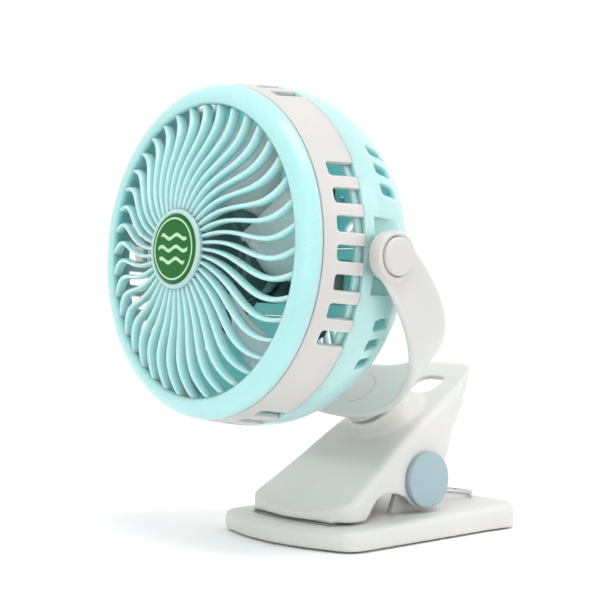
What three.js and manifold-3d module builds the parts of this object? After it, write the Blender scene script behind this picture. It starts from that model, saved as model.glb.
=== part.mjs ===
// Rechargeable clip fan: a round fan head that tilts in a U-shaped yoke, the yoke swivelling on a spring clip.
// Millimetres, +Z up, the fan faces -Y, and the middle of the base's underside is the origin.
import * as THREE from 'three';
import { mergeVertices } from 'three/addons/utils/BufferGeometryUtils.js';
import Module from 'manifold-3d';

const wasm = await Module();
wasm.setup();

// ---------------------------------------------------------------- sizes
const GAP = 0.3; // clearance between pieces that touch
const RUN = 0.3; // radial clearance of a turning fit
const WALL = 2; // wall of the moulded head shells

// fan head, measured along its axis from the tilt pivot, forward positive
const HEAD_TILT = 2.3; // degrees, nose up
const HEAD_R = 66.8; // widest radius
const RIM_IN = 2.4; // how much narrower the head is where the front ring meets the band
const RING_W = 7.9; // front ring, from the band to the grille opening
const NOSE_U = 33.9; // front edge of the mouth
const RIM_U = 26.2; // front ring to band
const BAND_U = 7.8; // band to rear cover
const BELLY_U = 1.7; // widest place
const BACK_U = -30.3; // flat back
const BACK_R = 44.5; // radius of the flat back
const BACK_POWER = 1.7; // roundness of the rear shoulder

// grille
const RIB_COUNT = 40;
const RIB_W_HUB = 1.7;
const RIB_W_RIM = 2.8;
const RIB_H = 3;
const RIB_SWEEP = 10.5; // degrees
const RIB_BEND = 0.75; // half turns of the sweep's sine from hub to rim
const DOME = 10.5; // rise of the grille's middle
const HUB_R = 15.2;
const BADGE_R = 13.1;
const BADGE_T = 1.4;

// slots
const SLOT_PITCH = 9.28; // degrees
const SLOT_H = 6;
const SLOT_L = 12.8;
const SIDE_SLOTS = 7;
const TOP_SLOTS = 6;
const REAR_SLOT_PITCH = 7.4;
const REAR_SLOT_H = 5;
const REAR_SLOT_L = 11;
const REAR_SLOT_U = -8.5;
const REAR_SLOT_FIRST = 22.4; // degrees from the pivot
const REAR_SLOTS = 3;
const VENT_W = 3;
const VENT_OUT_R = 41;
const VENT_PITCH = 8; // degrees
const UPPER_VENTS = 3; // each side
const UPPER_VENT_R = 20;
const UPPER_VENT_FIRST = 20;
const LOWER_VENTS = 9;
const PAD_H = 28; // flat pocket round the tilt pivot
const PAD_FRONT_U = 3.6;
const PAD_L = 15;
const PAD_IN = 4; // depth of the pocket

// drive
const SHAFT_R = 1;
const MOTOR_R = 16.5;
const MOTOR_L = 13;
const MOUNT_ARMS = 4;
const ARM_W = 9;
const ARM_T = 3;
const POST_R = 38; // posts that carry the motor mount
const ROTOR_HUB_R = 15;
const ROTOR_GAP = 1.5; // rotor to motor
const ROTOR_L = 15;
const ROTOR_BORE_R = 3.4; // outside of the boss on the shaft
const ROTOR_BORE_L = 9;
const ROTOR_WALL = 1.8;
const BLADE_COUNT = 5;
const TIP_CLEAR = 11.4; // blade tips to the band's front edge
const BLADE_T = 1.6;
const BLADE_PITCH_HUB = 42; // degrees from the fan's plane
const BLADE_PITCH_TIP = 24;
const BLADE_CHORD_HUB = 17;
const BLADE_CHORD_TIP = 34;

// battery, board and controls
const CELL_R = 9;
const CELL_L = 65;
const CELL_Y = -9; // below the fan axis
const TRAY_WALL = 1.6;
const DOOR_T = 2;
const DOOR_LIP = 4.5;
const BOARD_W = 30;
const BOARD_H = 16;
const BOARD_T = 1.6;
const BOARD_Y = 24;
const BOARD_U = -23;
const BUTTON_R = 4;
const BUTTON_TRAVEL = 1.2;
const PORT_W = 7.8;
const PORT_H = 3;
const LAMP_R = 1.5;
const CONTROL_X = 10; // port and lamp either side of the button
const SCREW_R = 1.2;

// yoke
const LEAN = 45; // degrees that the swivel axis leans back
const YOKE_CLEAR = 3.7; // head to yoke at the pivots
const YOKE_T = 3;
const YOKE_LEG = 3.5; // straight run below each pivot
const YOKE_DEEPEN = 2; // how much deeper than a half circle
const YOKE_END_W = 19;
const YOKE_MID_W = 29;
const EYE_R = 9.3;
const EYE_OUT = 2; // eye standing proud of the yoke's outer face
const EYE_IN = 1.2;
const CAP_R = 6.5;
const CAP_PROUD = 1;
const TRUNNION_R = 7.5;
const SPIGOT_R = 4;
const PIVOT_SCREW_R = 1.5;
const PIVOT_SCREW_HEAD_R = 4.6;
const PIVOT_SCREW_L = 9;
const BOSS_R = 11.5;
const BOSS_H = 6;
const WASHER_T = 1;
const BOLT_R = 3;
const BOLT_HEAD_R = 6;
const BOLT_HEAD_T = 2.6;
const BOLT_SINK = 4.5; // depth of the bolt's recess in the yoke
const SWIVEL_CAP_R = 7;

// clip, y and z of the side view
const SEAT_Y = 4.2; // middle of the collar's top
const SEAT_Z = 52.8;
const COLLAR_R = 12;
const HINGE_Y = 12;
const HINGE_Z = 23.5;
const HINGE_R = 2;
const LOBE_R = 12;
const HINGE_CAP_R = 11.6;
const HINGE_CAP_T = 3;
const HINGE_CAP_SPIGOT_R = 5;
const BASE_T = 10; // below the hinge
const BASE_RISE = 0.024; // slope of the base's top, up to the rear
const SOLE_T = 1.5;
const SOLE_INSET = 3;
const BASE_FRONT_Y = -53;
const BASE_REAR_Y = 65;
const BASE_FRONT_W = 80;
const BASE_REAR_W = 66;
const BASE_BOW = 8;
const BASE_BEVEL = 3;
const JAW_BACK = 9.5; // upper jaw's front edge behind the base's
const JAW_REAR_Y = 53;
const JAW_WALL = 2.6;
const JAW_CREST = 1.6; // depth of the dished deck
const PADDLE_Y = -25; // rear end of the flat front paddle
const ARCH_Y = -11; // crest of the gap between paddle and hinge
const ARCH_Z = 19.3;
const HANDLE_W = 37; // across the handle's end
const GRIP_T = 1.1; // rubber pads
const GRIP_SINK = 0.7;
const GRIP_W = 48;
const GRIP_IN = 3.5; // pads behind the upper jaw's front edge
const GRIP_L = 13;
const EAR_X = 14.5;
const EAR_T = 3;
const EAR_R = 7.5;
const HANDLE_HOLE_W = 15.5;
const HANDLE_HOLE_H = 13;
const HANDLE_HOLE_Y = 36.5;

// torsion spring
const WIRE_R = 0.9;
const COIL_R = 4.4;
const COIL_PITCH = 2.4;
const COIL_TURNS = 3;
const COIL_X = 12.2;
const LOOP_Y = 56; // rear end of the loop that presses on the base
const LEG_Y = 33; // where the free legs press on the handle

const rad = THREE.MathUtils.degToRad;
const V = (x, y, z) => new THREE.Vector3(x, y, z);

// ---------------------------------------------------------------- making solids
function closed(geometry) {
  const bare = geometry.clone();
  for (const key of Object.keys(bare.attributes)) {
    if (key !== 'position') bare.deleteAttribute(key);
  }
  bare.morphAttributes = {};
  const merged = mergeVertices(bare, 1e-4);
  const p = merged.attributes.position.array;
  const source = merged.index.array;
  const tri = [];
  let volume = 0;
  for (let i = 0; i < source.length; i += 3) {
    const [a, b, c] = [source[i], source[i + 1], source[i + 2]];
    if (a === b || b === c || c === a) continue;
    tri.push(a, b, c);
    const [ax, ay, az] = [p[3 * a], p[3 * a + 1], p[3 * a + 2]];
    const [bx, by, bz] = [p[3 * b], p[3 * b + 1], p[3 * b + 2]];
    const [cx, cy, cz] = [p[3 * c], p[3 * c + 1], p[3 * c + 2]];
    volume += ax * (by * cz - bz * cy) + ay * (bz * cx - bx * cz) + az * (bx * cy - by * cx);
  }
  if (volume < 0) tri.reverse();
  const mesh = { numProp: 3, vertProperties: new Float32Array(p), triVerts: new Uint32Array(tri) };
  return new wasm.Manifold(new wasm.Mesh(mesh));
}

function geometryOf(solid) {
  const { vertProperties, triVerts } = solid.asOriginal().getMesh();
  const geometry = new THREE.BufferGeometry();
  geometry.setAttribute('position', new THREE.BufferAttribute(new Float32Array(vertProperties), 3));
  geometry.setIndex(new THREE.BufferAttribute(new Uint32Array(triVerts), 1));
  const flat = geometry.toNonIndexed();
  flat.computeVertexNormals();
  return flat;
}

const join = (first, ...others) => others.reduce((sum, one) => sum.add(one), first);
const cut = (first, ...others) => others.reduce((rest, one) => rest.subtract(one), first);

function block(x0, x1, y0, y1, z0, z1) {
  const geometry = new THREE.BoxGeometry(x1 - x0, y1 - y0, z1 - z0);
  geometry.translate((x0 + x1) / 2, (y0 + y1) / 2, (z0 + z1) / 2);
  return closed(geometry);
}

// a solid of revolution about Z from [radius, z] pairs
function turned(profile, segments = 48) {
  const points = profile.map(([r, z]) => new THREE.Vector2(Math.max(r, 0), z));
  const geometry = new THREE.LatheGeometry(points, segments);
  geometry.rotateX(Math.PI / 2);
  return closed(geometry);
}

function rod(r, z0, z1, segments = 24, chamfer = 0) {
  const c = chamfer;
  return turned([[0, z0], [r - c, z0], [r, z0 + c], [r, z1 - c], [r - c, z1], [0, z1]], segments);
}

// an outline in x, y raised along z
function raised(shape, z0, z1, curveSegments = 8) {
  const geometry = new THREE.ExtrudeGeometry(shape, { depth: z1 - z0, bevelEnabled: false, curveSegments });
  geometry.translate(0, 0, z0);
  return closed(geometry);
}

function roundedRect(x0, x1, y0, y1, r) {
  const shape = new THREE.Shape();
  shape.moveTo(x0 + r, y0);
  shape.lineTo(x1 - r, y0);
  shape.quadraticCurveTo(x1, y0, x1, y0 + r);
  shape.lineTo(x1, y1 - r);
  shape.quadraticCurveTo(x1, y1, x1 - r, y1);
  shape.lineTo(x0 + r, y1);
  shape.quadraticCurveTo(x0, y1, x0, y1 - r);
  shape.lineTo(x0, y0 + r);
  shape.quadraticCurveTo(x0, y0, x0 + r, y0);
  return shape;
}

// a skin through rings of equal count, closed by a flat face at each end
function lofted(rings) {
  const n = rings[0].length;
  const positions = rings.flat().flatMap((p) => [p.x, p.y, p.z]);
  const index = [];
  for (let k = 0; k + 1 < rings.length; k++) {
    for (let i = 0; i < n; i++) {
      const a = k * n + i;
      const b = k * n + ((i + 1) % n);
      index.push(a, b, b + n, a, b + n, a + n);
    }
  }
  const lid = (ring, start, flip) => {
    const normal = V(0, 0, 0);
    ring.forEach((p, i) => normal.add(V(0, 0, 0).crossVectors(p, ring[(i + 1) % n])));
    normal.normalize();
    const u = V(0, 0, 0).subVectors(ring[1], ring[0]).normalize();
    const v = V(0, 0, 0).crossVectors(normal, u);
    const flat = ring.map((p) => new THREE.Vector2(p.dot(u), p.dot(v)));
    for (const [a, b, c] of THREE.ShapeUtils.triangulateShape(flat, [])) {
      if (flip) index.push(start + a, start + c, start + b);
      else index.push(start + a, start + b, start + c);
    }
  };
  lid(rings[0], 0, true);
  lid(rings[rings.length - 1], (rings.length - 1) * n, false);
  const geometry = new THREE.BufferGeometry();
  geometry.setAttribute('position', new THREE.Float32BufferAttribute(positions, 3));
  geometry.setIndex(index);
  return closed(geometry);
}

// values between stations, eased so that the slope is smooth
function along(stations, at) {
  const xs = stations.map((s) => s[0]);
  if (at <= xs[0]) return stations[0][1];
  if (at >= xs[xs.length - 1]) return stations[stations.length - 1][1];
  const slope = (i) => {
    const a = stations[Math.max(i - 1, 0)];
    const b = stations[Math.min(i + 1, stations.length - 1)];
    return (b[1] - a[1]) / (b[0] - a[0]);
  };
  const i = xs.findIndex((x, k) => at >= x && at <= xs[k + 1]);
  const [x0, y0] = stations[i];
  const [x1, y1] = stations[i + 1];
  const h = x1 - x0;
  const t = (at - x0) / h;
  const a = (1 + 2 * t) * (1 - t) ** 2 * y0 + t * (1 - t) ** 2 * h * slope(i);
  return a + t * t * (3 - 2 * t) * y1 + t * t * (t - 1) * h * slope(i + 1);
}

const place = (solid, matrix) => solid.transform(matrix.elements);
const moved = (solid, x, y, z) => place(solid, new THREE.Matrix4().makeTranslation(x, y, z));
const aboutZ = (solid, degrees) => place(solid, new THREE.Matrix4().makeRotationZ(rad(degrees)));
const alongX = (solid) => place(solid, new THREE.Matrix4().makeRotationY(Math.PI / 2));
const mirrored = (solid) => place(solid, new THREE.Matrix4().makeScale(-1, 1, 1));

// ---------------------------------------------------------------- where things are
const RIM_R = HEAD_R - RIM_IN;
const MOUTH_R = RIM_R - RING_W;
const PAD_X = HEAD_R - PAD_IN;
const BLADE_TIP_R = RIM_R - WALL - TIP_CLEAR;
const REACH = 2 * HEAD_R; // long enough for a cut to pass right through
const YOKE_IN = HEAD_R + YOKE_CLEAR;
const YOKE_SAG = YOKE_IN + YOKE_DEEPEN;
const YOKE_DEPTH = YOKE_LEG + YOKE_SAG;
const BOSS_END = YOKE_DEPTH + YOKE_T + BOSS_H;
const SEAT_L = BOSS_END + WASHER_T + 2 * GAP; // pivot to collar
const lean = rad(LEAN);
const AXIS = V(0, -Math.sin(lean), Math.cos(lean)); // swivel axis, upwards
const SEAT = V(0, SEAT_Y, SEAT_Z);
const PIVOT = SEAT.clone().addScaledVector(AXIS, SEAT_L);
const EYE_X0 = YOKE_IN - EYE_IN;
const EYE_X1 = YOKE_IN + YOKE_T + EYE_OUT;
const RECESS_X = YOKE_IN + 1; // floor of the recess behind the tilt cap

// ---------------------------------------------------------------- fan head, axis along +Z of its group
function shoulder(offset, steps) {
  const points = [];
  for (let i = 0; i <= steps; i++) {
    const t = (i / steps) * (Math.PI / 2);
    const r = BACK_R + (HEAD_R - BACK_R) * Math.cos(t) ** (2 / BACK_POWER);
    const u = BELLY_U + (BACK_U - BELLY_U) * Math.sin(t) ** (2 / BACK_POWER);
    points.push([r - offset, u + offset * Math.sin(t)]);
  }
  return points;
}

function domeAt(r) {
  const t = THREE.MathUtils.clamp((r - HUB_R) / (MOUTH_R - HUB_R), 0, 1);
  return NOSE_U - 1 + DOME * (1 - t ** 1.7);
}

function rib(turn) {
  const r0 = HUB_R - 1.2;
  const r1 = MOUTH_R + 0.6;
  const rings = [];
  const steps = 5;
  for (let i = 0; i <= steps; i++) {
    const t = i / steps;
    const r = r0 + (r1 - r0) * t;
    const angle = rad(turn - RIB_SWEEP * Math.sin(Math.PI * RIB_BEND * t));
    const w = RIB_W_HUB + (RIB_W_RIM - RIB_W_HUB) * t;
    const side = V(-Math.sin(angle), Math.cos(angle), 0);
    const middle = V(r * Math.cos(angle), r * Math.sin(angle), domeAt(r) - RIB_H / 2);
    const at = (s, h) => middle.clone().addScaledVector(side, s * w).add(V(0, 0, h * RIB_H));
    rings.push([at(0.5, -0.4), at(0.28, 0.5), at(-0.28, 0.5), at(-0.5, -0.4)]);
  }
  return lofted(rings);
}

function frontGrille() {
  const spigot = RIM_R - WALL - GAP;
  const ring = turned([
    [RIM_R, RIM_U + GAP / 2], [RIM_R - 0.3, RIM_U + 2.6], [RIM_R - 1.9, RIM_U + 5.4],
    [RIM_R - 4.7, NOSE_U - 0.5], [MOUTH_R + 0.6, NOSE_U], [MOUTH_R - 0.7, NOSE_U - 2.2],
    [spigot - WALL, RIM_U - 1], [spigot - WALL, RIM_U - 4], [spigot, RIM_U - 4],
    [spigot, RIM_U + GAP / 2], [RIM_R, RIM_U + GAP / 2],
  ], 40);
  const z = domeAt(0);
  const hub = turned([
    [0, z - 2.6], [HUB_R - 1.6, z - 2.6], [HUB_R, z - 1.4], [HUB_R, z], [HUB_R - 0.7, z + 0.9],
    [BADGE_R + GAP, z + 0.9], [BADGE_R + GAP, z - 0.6], [0, z - 0.6],
  ], 20);
  let grille = join(ring, hub);
  for (let i = 0; i < RIB_COUNT; i++) grille = grille.add(rib((i * 360) / RIB_COUNT));
  return grille;
}

function badge() {
  const z = domeAt(0) - 0.6 + GAP;
  const t = BADGE_T;
  return turned([[0, z], [BADGE_R, z], [BADGE_R, z + t - 0.4], [BADGE_R - 0.6, z + t], [0, z + t + 0.5]], 24);
}

// slot cutters, long along the fan axis and square to the wall
function slotCutter(angle, halfH, u0, u1, r0, r1) {
  const shape = roundedRect(u0, u1, -halfH, halfH, 1.4);
  const cutter = raised(shape, r0, r1, 1);
  const turn = new THREE.Matrix4().makeBasis(V(0, 0, 1), V(0, 1, 0), V(1, 0, 0));
  return aboutZ(place(cutter, turn), angle);
}

function bandAngles() {
  const angles = [];
  for (let side = 0; side < 2; side++) {
    for (let i = 0; i < SIDE_SLOTS; i++) angles.push(180 * side + (i - (SIDE_SLOTS - 1) / 2) * SLOT_PITCH);
    for (let i = 0; i < TOP_SLOTS; i++) angles.push(90 + 180 * side + (i - (TOP_SLOTS - 1) / 2) * SLOT_PITCH);
  }
  return angles;
}

function bodyBand() {
  const back = HEAD_R - 0.3;
  const tube = turned([
    [RIM_R, RIM_U - GAP / 2], [(RIM_R + back) / 2 + 0.3, (RIM_U + BAND_U) / 2], [back, BAND_U + GAP / 2],
    [back - WALL, BAND_U + GAP / 2], [(RIM_R + back) / 2 + 0.3 - WALL, (RIM_U + BAND_U) / 2],
    [RIM_R - WALL, RIM_U - GAP / 2], [RIM_R, RIM_U - GAP / 2],
  ], 40);
  const slots = bandAngles().map((a) => {
    return slotCutter(a, SLOT_H / 2, BAND_U - 4, BAND_U + SLOT_L, RIM_R - 3 * WALL, REACH);
  });
  return cut(tube, ...slots);
}

function trayBounds() {
  const half = CELL_R + GAP;
  return {
    x: CELL_L / 2 + 1.6,
    y0: CELL_Y - half,
    y1: CELL_Y + half,
    front: BACK_U + DOOR_T + GAP + 2 * half,
  };
}

function rearCover() {
  const outer = shoulder(0, 5);
  const inner = shoulder(WALL, 3).reverse();
  const lip = HEAD_R - 0.3 - WALL - GAP;
  const z = BACK_U + WALL;
  inner[0] = [inner[0][0], z];
  let cover = turned([
    [0, z], ...inner, [lip - WALL, BAND_U - 1], [lip - WALL, BAND_U + 2.4], [lip, BAND_U + 2.4],
    [lip, BAND_U - GAP / 2], [HEAD_R - 0.2, BAND_U - GAP / 2], ...outer, [0, BACK_U],
  ], 40);
  const tray = trayBounds();
  const w = TRAY_WALL;
  const shell = block(-tray.x - w, tray.x + w, tray.y0 - w, tray.y1 + w, BACK_U + 0.5, tray.front + w);
  const frame = doorBounds(GAP + w);
  const ledge = block(...frame, BACK_U + 0.5, BACK_U + DOOR_T + w);
  const post = moved(rod(3, BACK_U + 0.5, BACK_U + 8, 8), 0, doorScrewY(), 0);
  cover = join(cover, shell, ledge, post);
  for (let i = 0; i < MOUNT_ARMS; i++) {
    const a = rad(45 + (i * 360) / MOUNT_ARMS);
    const top = mountU() - GAP;
    cover = join(cover, moved(rod(3.2, BACK_U + 0.5, top, 8), POST_R * Math.cos(a), POST_R * Math.sin(a), 0));
  }
  for (const s of [-1, 1]) {
    const x = s * (BOARD_W / 2 - 3);
    cover = join(cover, moved(rod(2.2, BACK_U + 0.5, BOARD_U - GAP, 8), x, BOARD_Y + 5, 0));
  }
  const cavity = block(-tray.x, tray.x, tray.y0, tray.y1, BACK_U - 1, tray.front);
  const rebate = block(...doorBounds(GAP), BACK_U - 1, BACK_U + DOOR_T);
  cover = cut(cover, cavity, rebate);
  for (const a of rearSlotAngles()) {
    const u0 = REAR_SLOT_U - REAR_SLOT_L / 2;
    cover = cut(cover, slotCutter(a, REAR_SLOT_H / 2, u0, u0 + REAR_SLOT_L, HEAD_R - 7 * WALL, REACH));
  }
  for (const [a, r0] of vents()) {
    const vent = raised(roundedRect(r0, VENT_OUT_R, -VENT_W / 2, VENT_W / 2, 1.2), BACK_U - 1, z + 1, 1);
    cover = cut(cover, aboutZ(vent, a));
  }
  const whole = turned([[0, BACK_U], ...outer.slice().reverse(), [HEAD_R - 0.2, BAND_U - 1], [0, BAND_U - 1]], 40);
  for (const s of [-1, 1]) {
    const face = s > 0 ? [PAD_X, REACH] : [-REACH, -PAD_X];
    const back = s > 0 ? [PAD_X - WALL, PAD_X] : [-PAD_X, WALL - PAD_X];
    const half = PAD_H / 2;
    const pad = block(face[0], face[1], -half, half, PAD_FRONT_U - PAD_L, PAD_FRONT_U);
    const plate = block(back[0], back[1], -half - WALL, half + WALL, PAD_FRONT_U - PAD_L - 2, PAD_FRONT_U + 1);
    cover = cut(join(cover, plate.intersect(whole)), pad);
    const stub = join(
      rod(TRUNNION_R, PAD_X - WALL, EYE_X0 - GAP - WASHER_T - GAP, 20),
      rod(SPIGOT_R, PAD_X - WALL, RECESS_X - GAP, 16),
    );
    const bore = rod(PIVOT_SCREW_R + GAP, EYE_X0 - PIVOT_SCREW_L, REACH, 8);
    const both = alongX(stub);
    const hole = alongX(bore);
    cover = cut(join(cover, s > 0 ? both : mirrored(both)), s > 0 ? hole : mirrored(hole));
  }
  const button = rod(BUTTON_R + GAP, BACK_U - 1, z + 1, 20);
  const lamp = rod(LAMP_R + GAP, BACK_U - 1, z + 1, 10);
  const hw = PORT_W / 2 + GAP;
  const hh = PORT_H / 2 + GAP;
  const port = block(CONTROL_X - hw, CONTROL_X + hw, BOARD_Y - hh, BOARD_Y + hh, BACK_U - 1, z + 1);
  cover = cut(cover, moved(button, 0, BOARD_Y, 0), moved(lamp, -CONTROL_X, BOARD_Y, 0), port);
  return cut(cover, moved(rod(SCREW_R + GAP, BACK_U - 1, BACK_U + 8, 8), 0, doorScrewY(), 0));
}

function rearSlotAngles() {
  const angles = [];
  for (let i = 0; i < REAR_SLOTS; i++) {
    const a = REAR_SLOT_FIRST + i * REAR_SLOT_PITCH;
    angles.push(a, -a, 180 - a, 180 + a);
  }
  for (let i = 0; i < TOP_SLOTS; i++) {
    const a = 90 + (i - (TOP_SLOTS - 1) / 2) * REAR_SLOT_PITCH;
    angles.push(a, a + 180);
  }
  return angles;
}

// angle and inner radius of each vent in the flat back
function vents() {
  const list = [];
  for (let i = 0; i < UPPER_VENTS; i++) {
    const a = UPPER_VENT_FIRST + i * VENT_PITCH;
    list.push([a, UPPER_VENT_R], [180 - a, UPPER_VENT_R]);
  }
  const below = -doorBounds(0)[2] + 6;
  for (let i = 0; i < LOWER_VENTS; i++) list.push([-90 + (i - (LOWER_VENTS - 1) / 2) * VENT_PITCH, below]);
  return list;
}

function doorBounds(slack) {
  const tray = trayBounds();
  const x = tray.x + DOOR_LIP + slack;
  return [-x, x, tray.y0 - DOOR_LIP - slack, tray.y1 + DOOR_LIP + slack];
}

const doorScrewY = () => trayBounds().y1 + SCREW_R + GAP + 0.6;
const mountU = () => trayBounds().front + TRAY_WALL + GAP;
const motorU = () => mountU() + ARM_T + GAP;
const rotorU = () => motorU() + MOTOR_L + ROTOR_GAP;

function motorMount() {
  const z = mountU();
  const cup = MOTOR_R + GAP;
  let mount = turned([
    [0, z], [cup + 1.6, z], [cup + 1.6, z + ARM_T + 6], [cup, z + ARM_T + 6], [cup, z + ARM_T], [0, z + ARM_T],
  ], 28);
  for (let i = 0; i < MOUNT_ARMS; i++) {
    const arm = raised(roundedRect(MOTOR_R - 2, POST_R + ARM_W / 2, -ARM_W / 2, ARM_W / 2, ARM_W / 2), z, z + ARM_T, 2);
    const hole = moved(rod(SCREW_R + GAP, z - 1, z + ARM_T + 1, 8), POST_R, 0, 0);
    const web = block(cup + 0.8, cup + 12, -0.8, 0.8, z + 1, z + ARM_T + 3);
    mount = join(mount, aboutZ(cut(join(arm, web), hole), 45 + (i * 360) / MOUNT_ARMS));
  }
  return mount;
}

function mountScrew(i) {
  const a = rad(45 + (i * 360) / MOUNT_ARMS);
  const z = mountU() + ARM_T + GAP;
  const screw = join(rod(SCREW_R, z - ARM_T - GAP, z + 0.5, 8), rod(2.4, z, z + 1.6, 8));
  return moved(screw, POST_R * Math.cos(a), POST_R * Math.sin(a), 0);
}

function motor() {
  const z = motorU();
  const can = turned([
    [0, z], [MOTOR_R - 1, z], [MOTOR_R, z + 1], [MOTOR_R, z + MOTOR_L - 2], [MOTOR_R - 1, z + MOTOR_L - 1],
    [4, z + MOTOR_L - 1], [4, z + MOTOR_L], [0, z + MOTOR_L],
  ], 24);
  return cut(can, rod(SHAFT_R + GAP, z + 2, z + MOTOR_L + 1, 12));
}

function motorShaft() {
  return rod(SHAFT_R, motorU() + 2 + GAP, rotorU() + ROTOR_L - 2.5 - GAP, 12);
}

// a broad twisted blade, its chord turning from the hub's pitch to the tip's
function blade(turn) {
  const rings = [];
  const steps = 6;
  const z = rotorU() + ROTOR_L / 2;
  for (let i = 0; i <= steps; i++) {
    const t = i / steps;
    const r = ROTOR_HUB_R - 1 + (BLADE_TIP_R - ROTOR_HUB_R + 1) * t;
    const chord = BLADE_CHORD_HUB + (BLADE_CHORD_TIP - BLADE_CHORD_HUB) * Math.sin(t * 1.9) * 0.95;
    const pitch = rad(BLADE_PITCH_HUB + (BLADE_PITCH_TIP - BLADE_PITCH_HUB) * t);
    const ring = [];
    for (const [s, side] of [[-0.5, 0], [-0.2, -1], [0.2, -1], [0.5, 0], [0.2, 1], [-0.2, 1]]) {
      const across = s * chord;
      const camber = 0.09 * chord * (1 - 4 * s * s);
      const lift = camber + (side * BLADE_T) / 2;
      const tangent = across * Math.cos(pitch) - lift * Math.sin(pitch);
      const height = across * Math.sin(pitch) + lift * Math.cos(pitch);
      const angle = rad(turn) + tangent / r + 0.28 * t * t;
      ring.push(V(r * Math.cos(angle), r * Math.sin(angle), z + height));
    }
    rings.push(ring);
  }
  return lofted(rings);
}

function rotor() {
  const z = rotorU();
  const top = z + ROTOR_L;
  let wheel = turned([
    [SHAFT_R + GAP, top - ROTOR_BORE_L], [ROTOR_BORE_R, top - ROTOR_BORE_L], [ROTOR_BORE_R, top - 2],
    [ROTOR_HUB_R - ROTOR_WALL, top - 2], [ROTOR_HUB_R - ROTOR_WALL, z],
    [ROTOR_HUB_R, z], [ROTOR_HUB_R, top - 2.5], [ROTOR_HUB_R - 2.5, top], [0, top + 0.8], [0, top - 2.5],
    [SHAFT_R + GAP, top - 2.5], [SHAFT_R + GAP, top - ROTOR_BORE_L],
  ], 24);
  const inside = rod(ROTOR_HUB_R - ROTOR_WALL, z - 4, top - 2, 24);
  for (let i = 0; i < BLADE_COUNT; i++) {
    wheel = wheel.add(cut(blade((i * 360) / BLADE_COUNT), inside));
  }
  return wheel;
}

function battery() {
  const z = BACK_U + DOOR_T + GAP + CELL_R + GAP;
  const half = CELL_L / 2;
  const cell = turned([
    [0, -half], [CELL_R - 0.6, -half], [CELL_R, 0.6 - half], [CELL_R, half - 2.6], [CELL_R - 0.8, half - 1.8],
    [3, half - 1.8], [3, half], [0, half],
  ], 20);
  return moved(alongX(cell), 0, CELL_Y, z);
}

function contact(side) {
  const tray = trayBounds();
  const z = BACK_U + DOOR_T + GAP + CELL_R + GAP;
  const plate = block(tray.x - GAP - 0.5, tray.x - GAP, CELL_Y - 6, CELL_Y + 6, z - 6, z + 6);
  const bump = moved(alongX(rod(2.5, CELL_L / 2 + GAP, tray.x - GAP - 0.2, 10)), 0, CELL_Y, z);
  const one = join(plate, bump);
  return side > 0 ? one : mirrored(one);
}

function batteryDoor() {
  const door = block(...doorBounds(0), BACK_U, BACK_U + DOOR_T - GAP);
  const grips = [];
  for (let i = -2; i <= 2; i++) {
    grips.push(block(20 + i * 2.4 - 0.5, 20 + i * 2.4 + 0.5, CELL_Y - 5, CELL_Y + 5, BACK_U - 1, BACK_U + 0.5));
  }
  const hole = moved(rod(SCREW_R + GAP, BACK_U - 1, BACK_U + DOOR_T + 1, 12), 0, doorScrewY(), 0);
  return cut(door, hole, ...grips);
}

function doorScrew() {
  const screw = join(rod(SCREW_R, BACK_U - 0.6, BACK_U + 7, 8), rod(2.3, BACK_U - GAP - 1.3, BACK_U - GAP, 12));
  return moved(screw, 0, doorScrewY(), 0);
}

function circuitBoard() {
  const board = block(-BOARD_W / 2, BOARD_W / 2, BOARD_Y - BOARD_H / 2, BOARD_Y + BOARD_H / 2, BOARD_U, BOARD_U + BOARD_T);
  const chip = block(-4, 4, BOARD_Y - 3, BOARD_Y + 3, BOARD_U + BOARD_T - 0.1, BOARD_U + BOARD_T + 1.2);
  const key = moved(rod(2.5, BOARD_U - 2, BOARD_U + 0.1, 16), 0, BOARD_Y, 0);
  return join(board, chip, key);
}

function speedButton() {
  const front = BOARD_U - 2 - GAP - BUTTON_TRAVEL;
  const flange = Math.min(BACK_U + WALL + GAP + 1, front);
  const button = turned([
    [0, BACK_U - 1.4], [BUTTON_R - 0.9, BACK_U - 1.4], [BUTTON_R, BACK_U - 0.6], [BUTTON_R, BACK_U + WALL + GAP],
    [BUTTON_R + 1, BACK_U + WALL + GAP], [BUTTON_R + 1, flange], [1.5, flange], [1.5, front], [0, front],
  ], 20);
  return moved(button, 0, BOARD_Y, 0);
}

function chargePort() {
  const hw = PORT_W / 2;
  const hh = PORT_H / 2;
  const shell = block(CONTROL_X - hw, CONTROL_X + hw, BOARD_Y - hh, BOARD_Y + hh, BACK_U + 0.4, BOARD_U - GAP);
  const mouth = block(CONTROL_X - hw + 0.4, CONTROL_X + hw - 0.4, BOARD_Y - hh + 0.4, BOARD_Y + hh - 0.4, BACK_U, BACK_U + 5);
  const tongue = block(CONTROL_X - 2.4, CONTROL_X + 2.4, BOARD_Y - 0.3, BOARD_Y + 0.4, BACK_U + 1.2, BACK_U + 5.2);
  return join(cut(shell, mouth), tongue);
}

function lamp() {
  const body = turned([
    [0, BACK_U - 0.6], [LAMP_R - 0.6, BACK_U - 0.4], [LAMP_R, BACK_U + 0.2], [LAMP_R, BACK_U + WALL + GAP],
    [LAMP_R + 0.6, BACK_U + WALL + GAP], [LAMP_R + 0.6, BOARD_U - GAP], [0, BOARD_U - GAP],
  ], 10);
  return moved(body, -CONTROL_X, BOARD_Y, 0);
}

function tiltWasher(side) {
  const x = EYE_X0 - GAP - WASHER_T;
  const ring = turned([
    [SPIGOT_R + GAP, x], [EYE_R - 1, x], [EYE_R - 1, x + WASHER_T], [SPIGOT_R + GAP, x + WASHER_T],
    [SPIGOT_R + GAP, x],
  ], 20);
  return side > 0 ? alongX(ring) : mirrored(alongX(ring));
}

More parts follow.
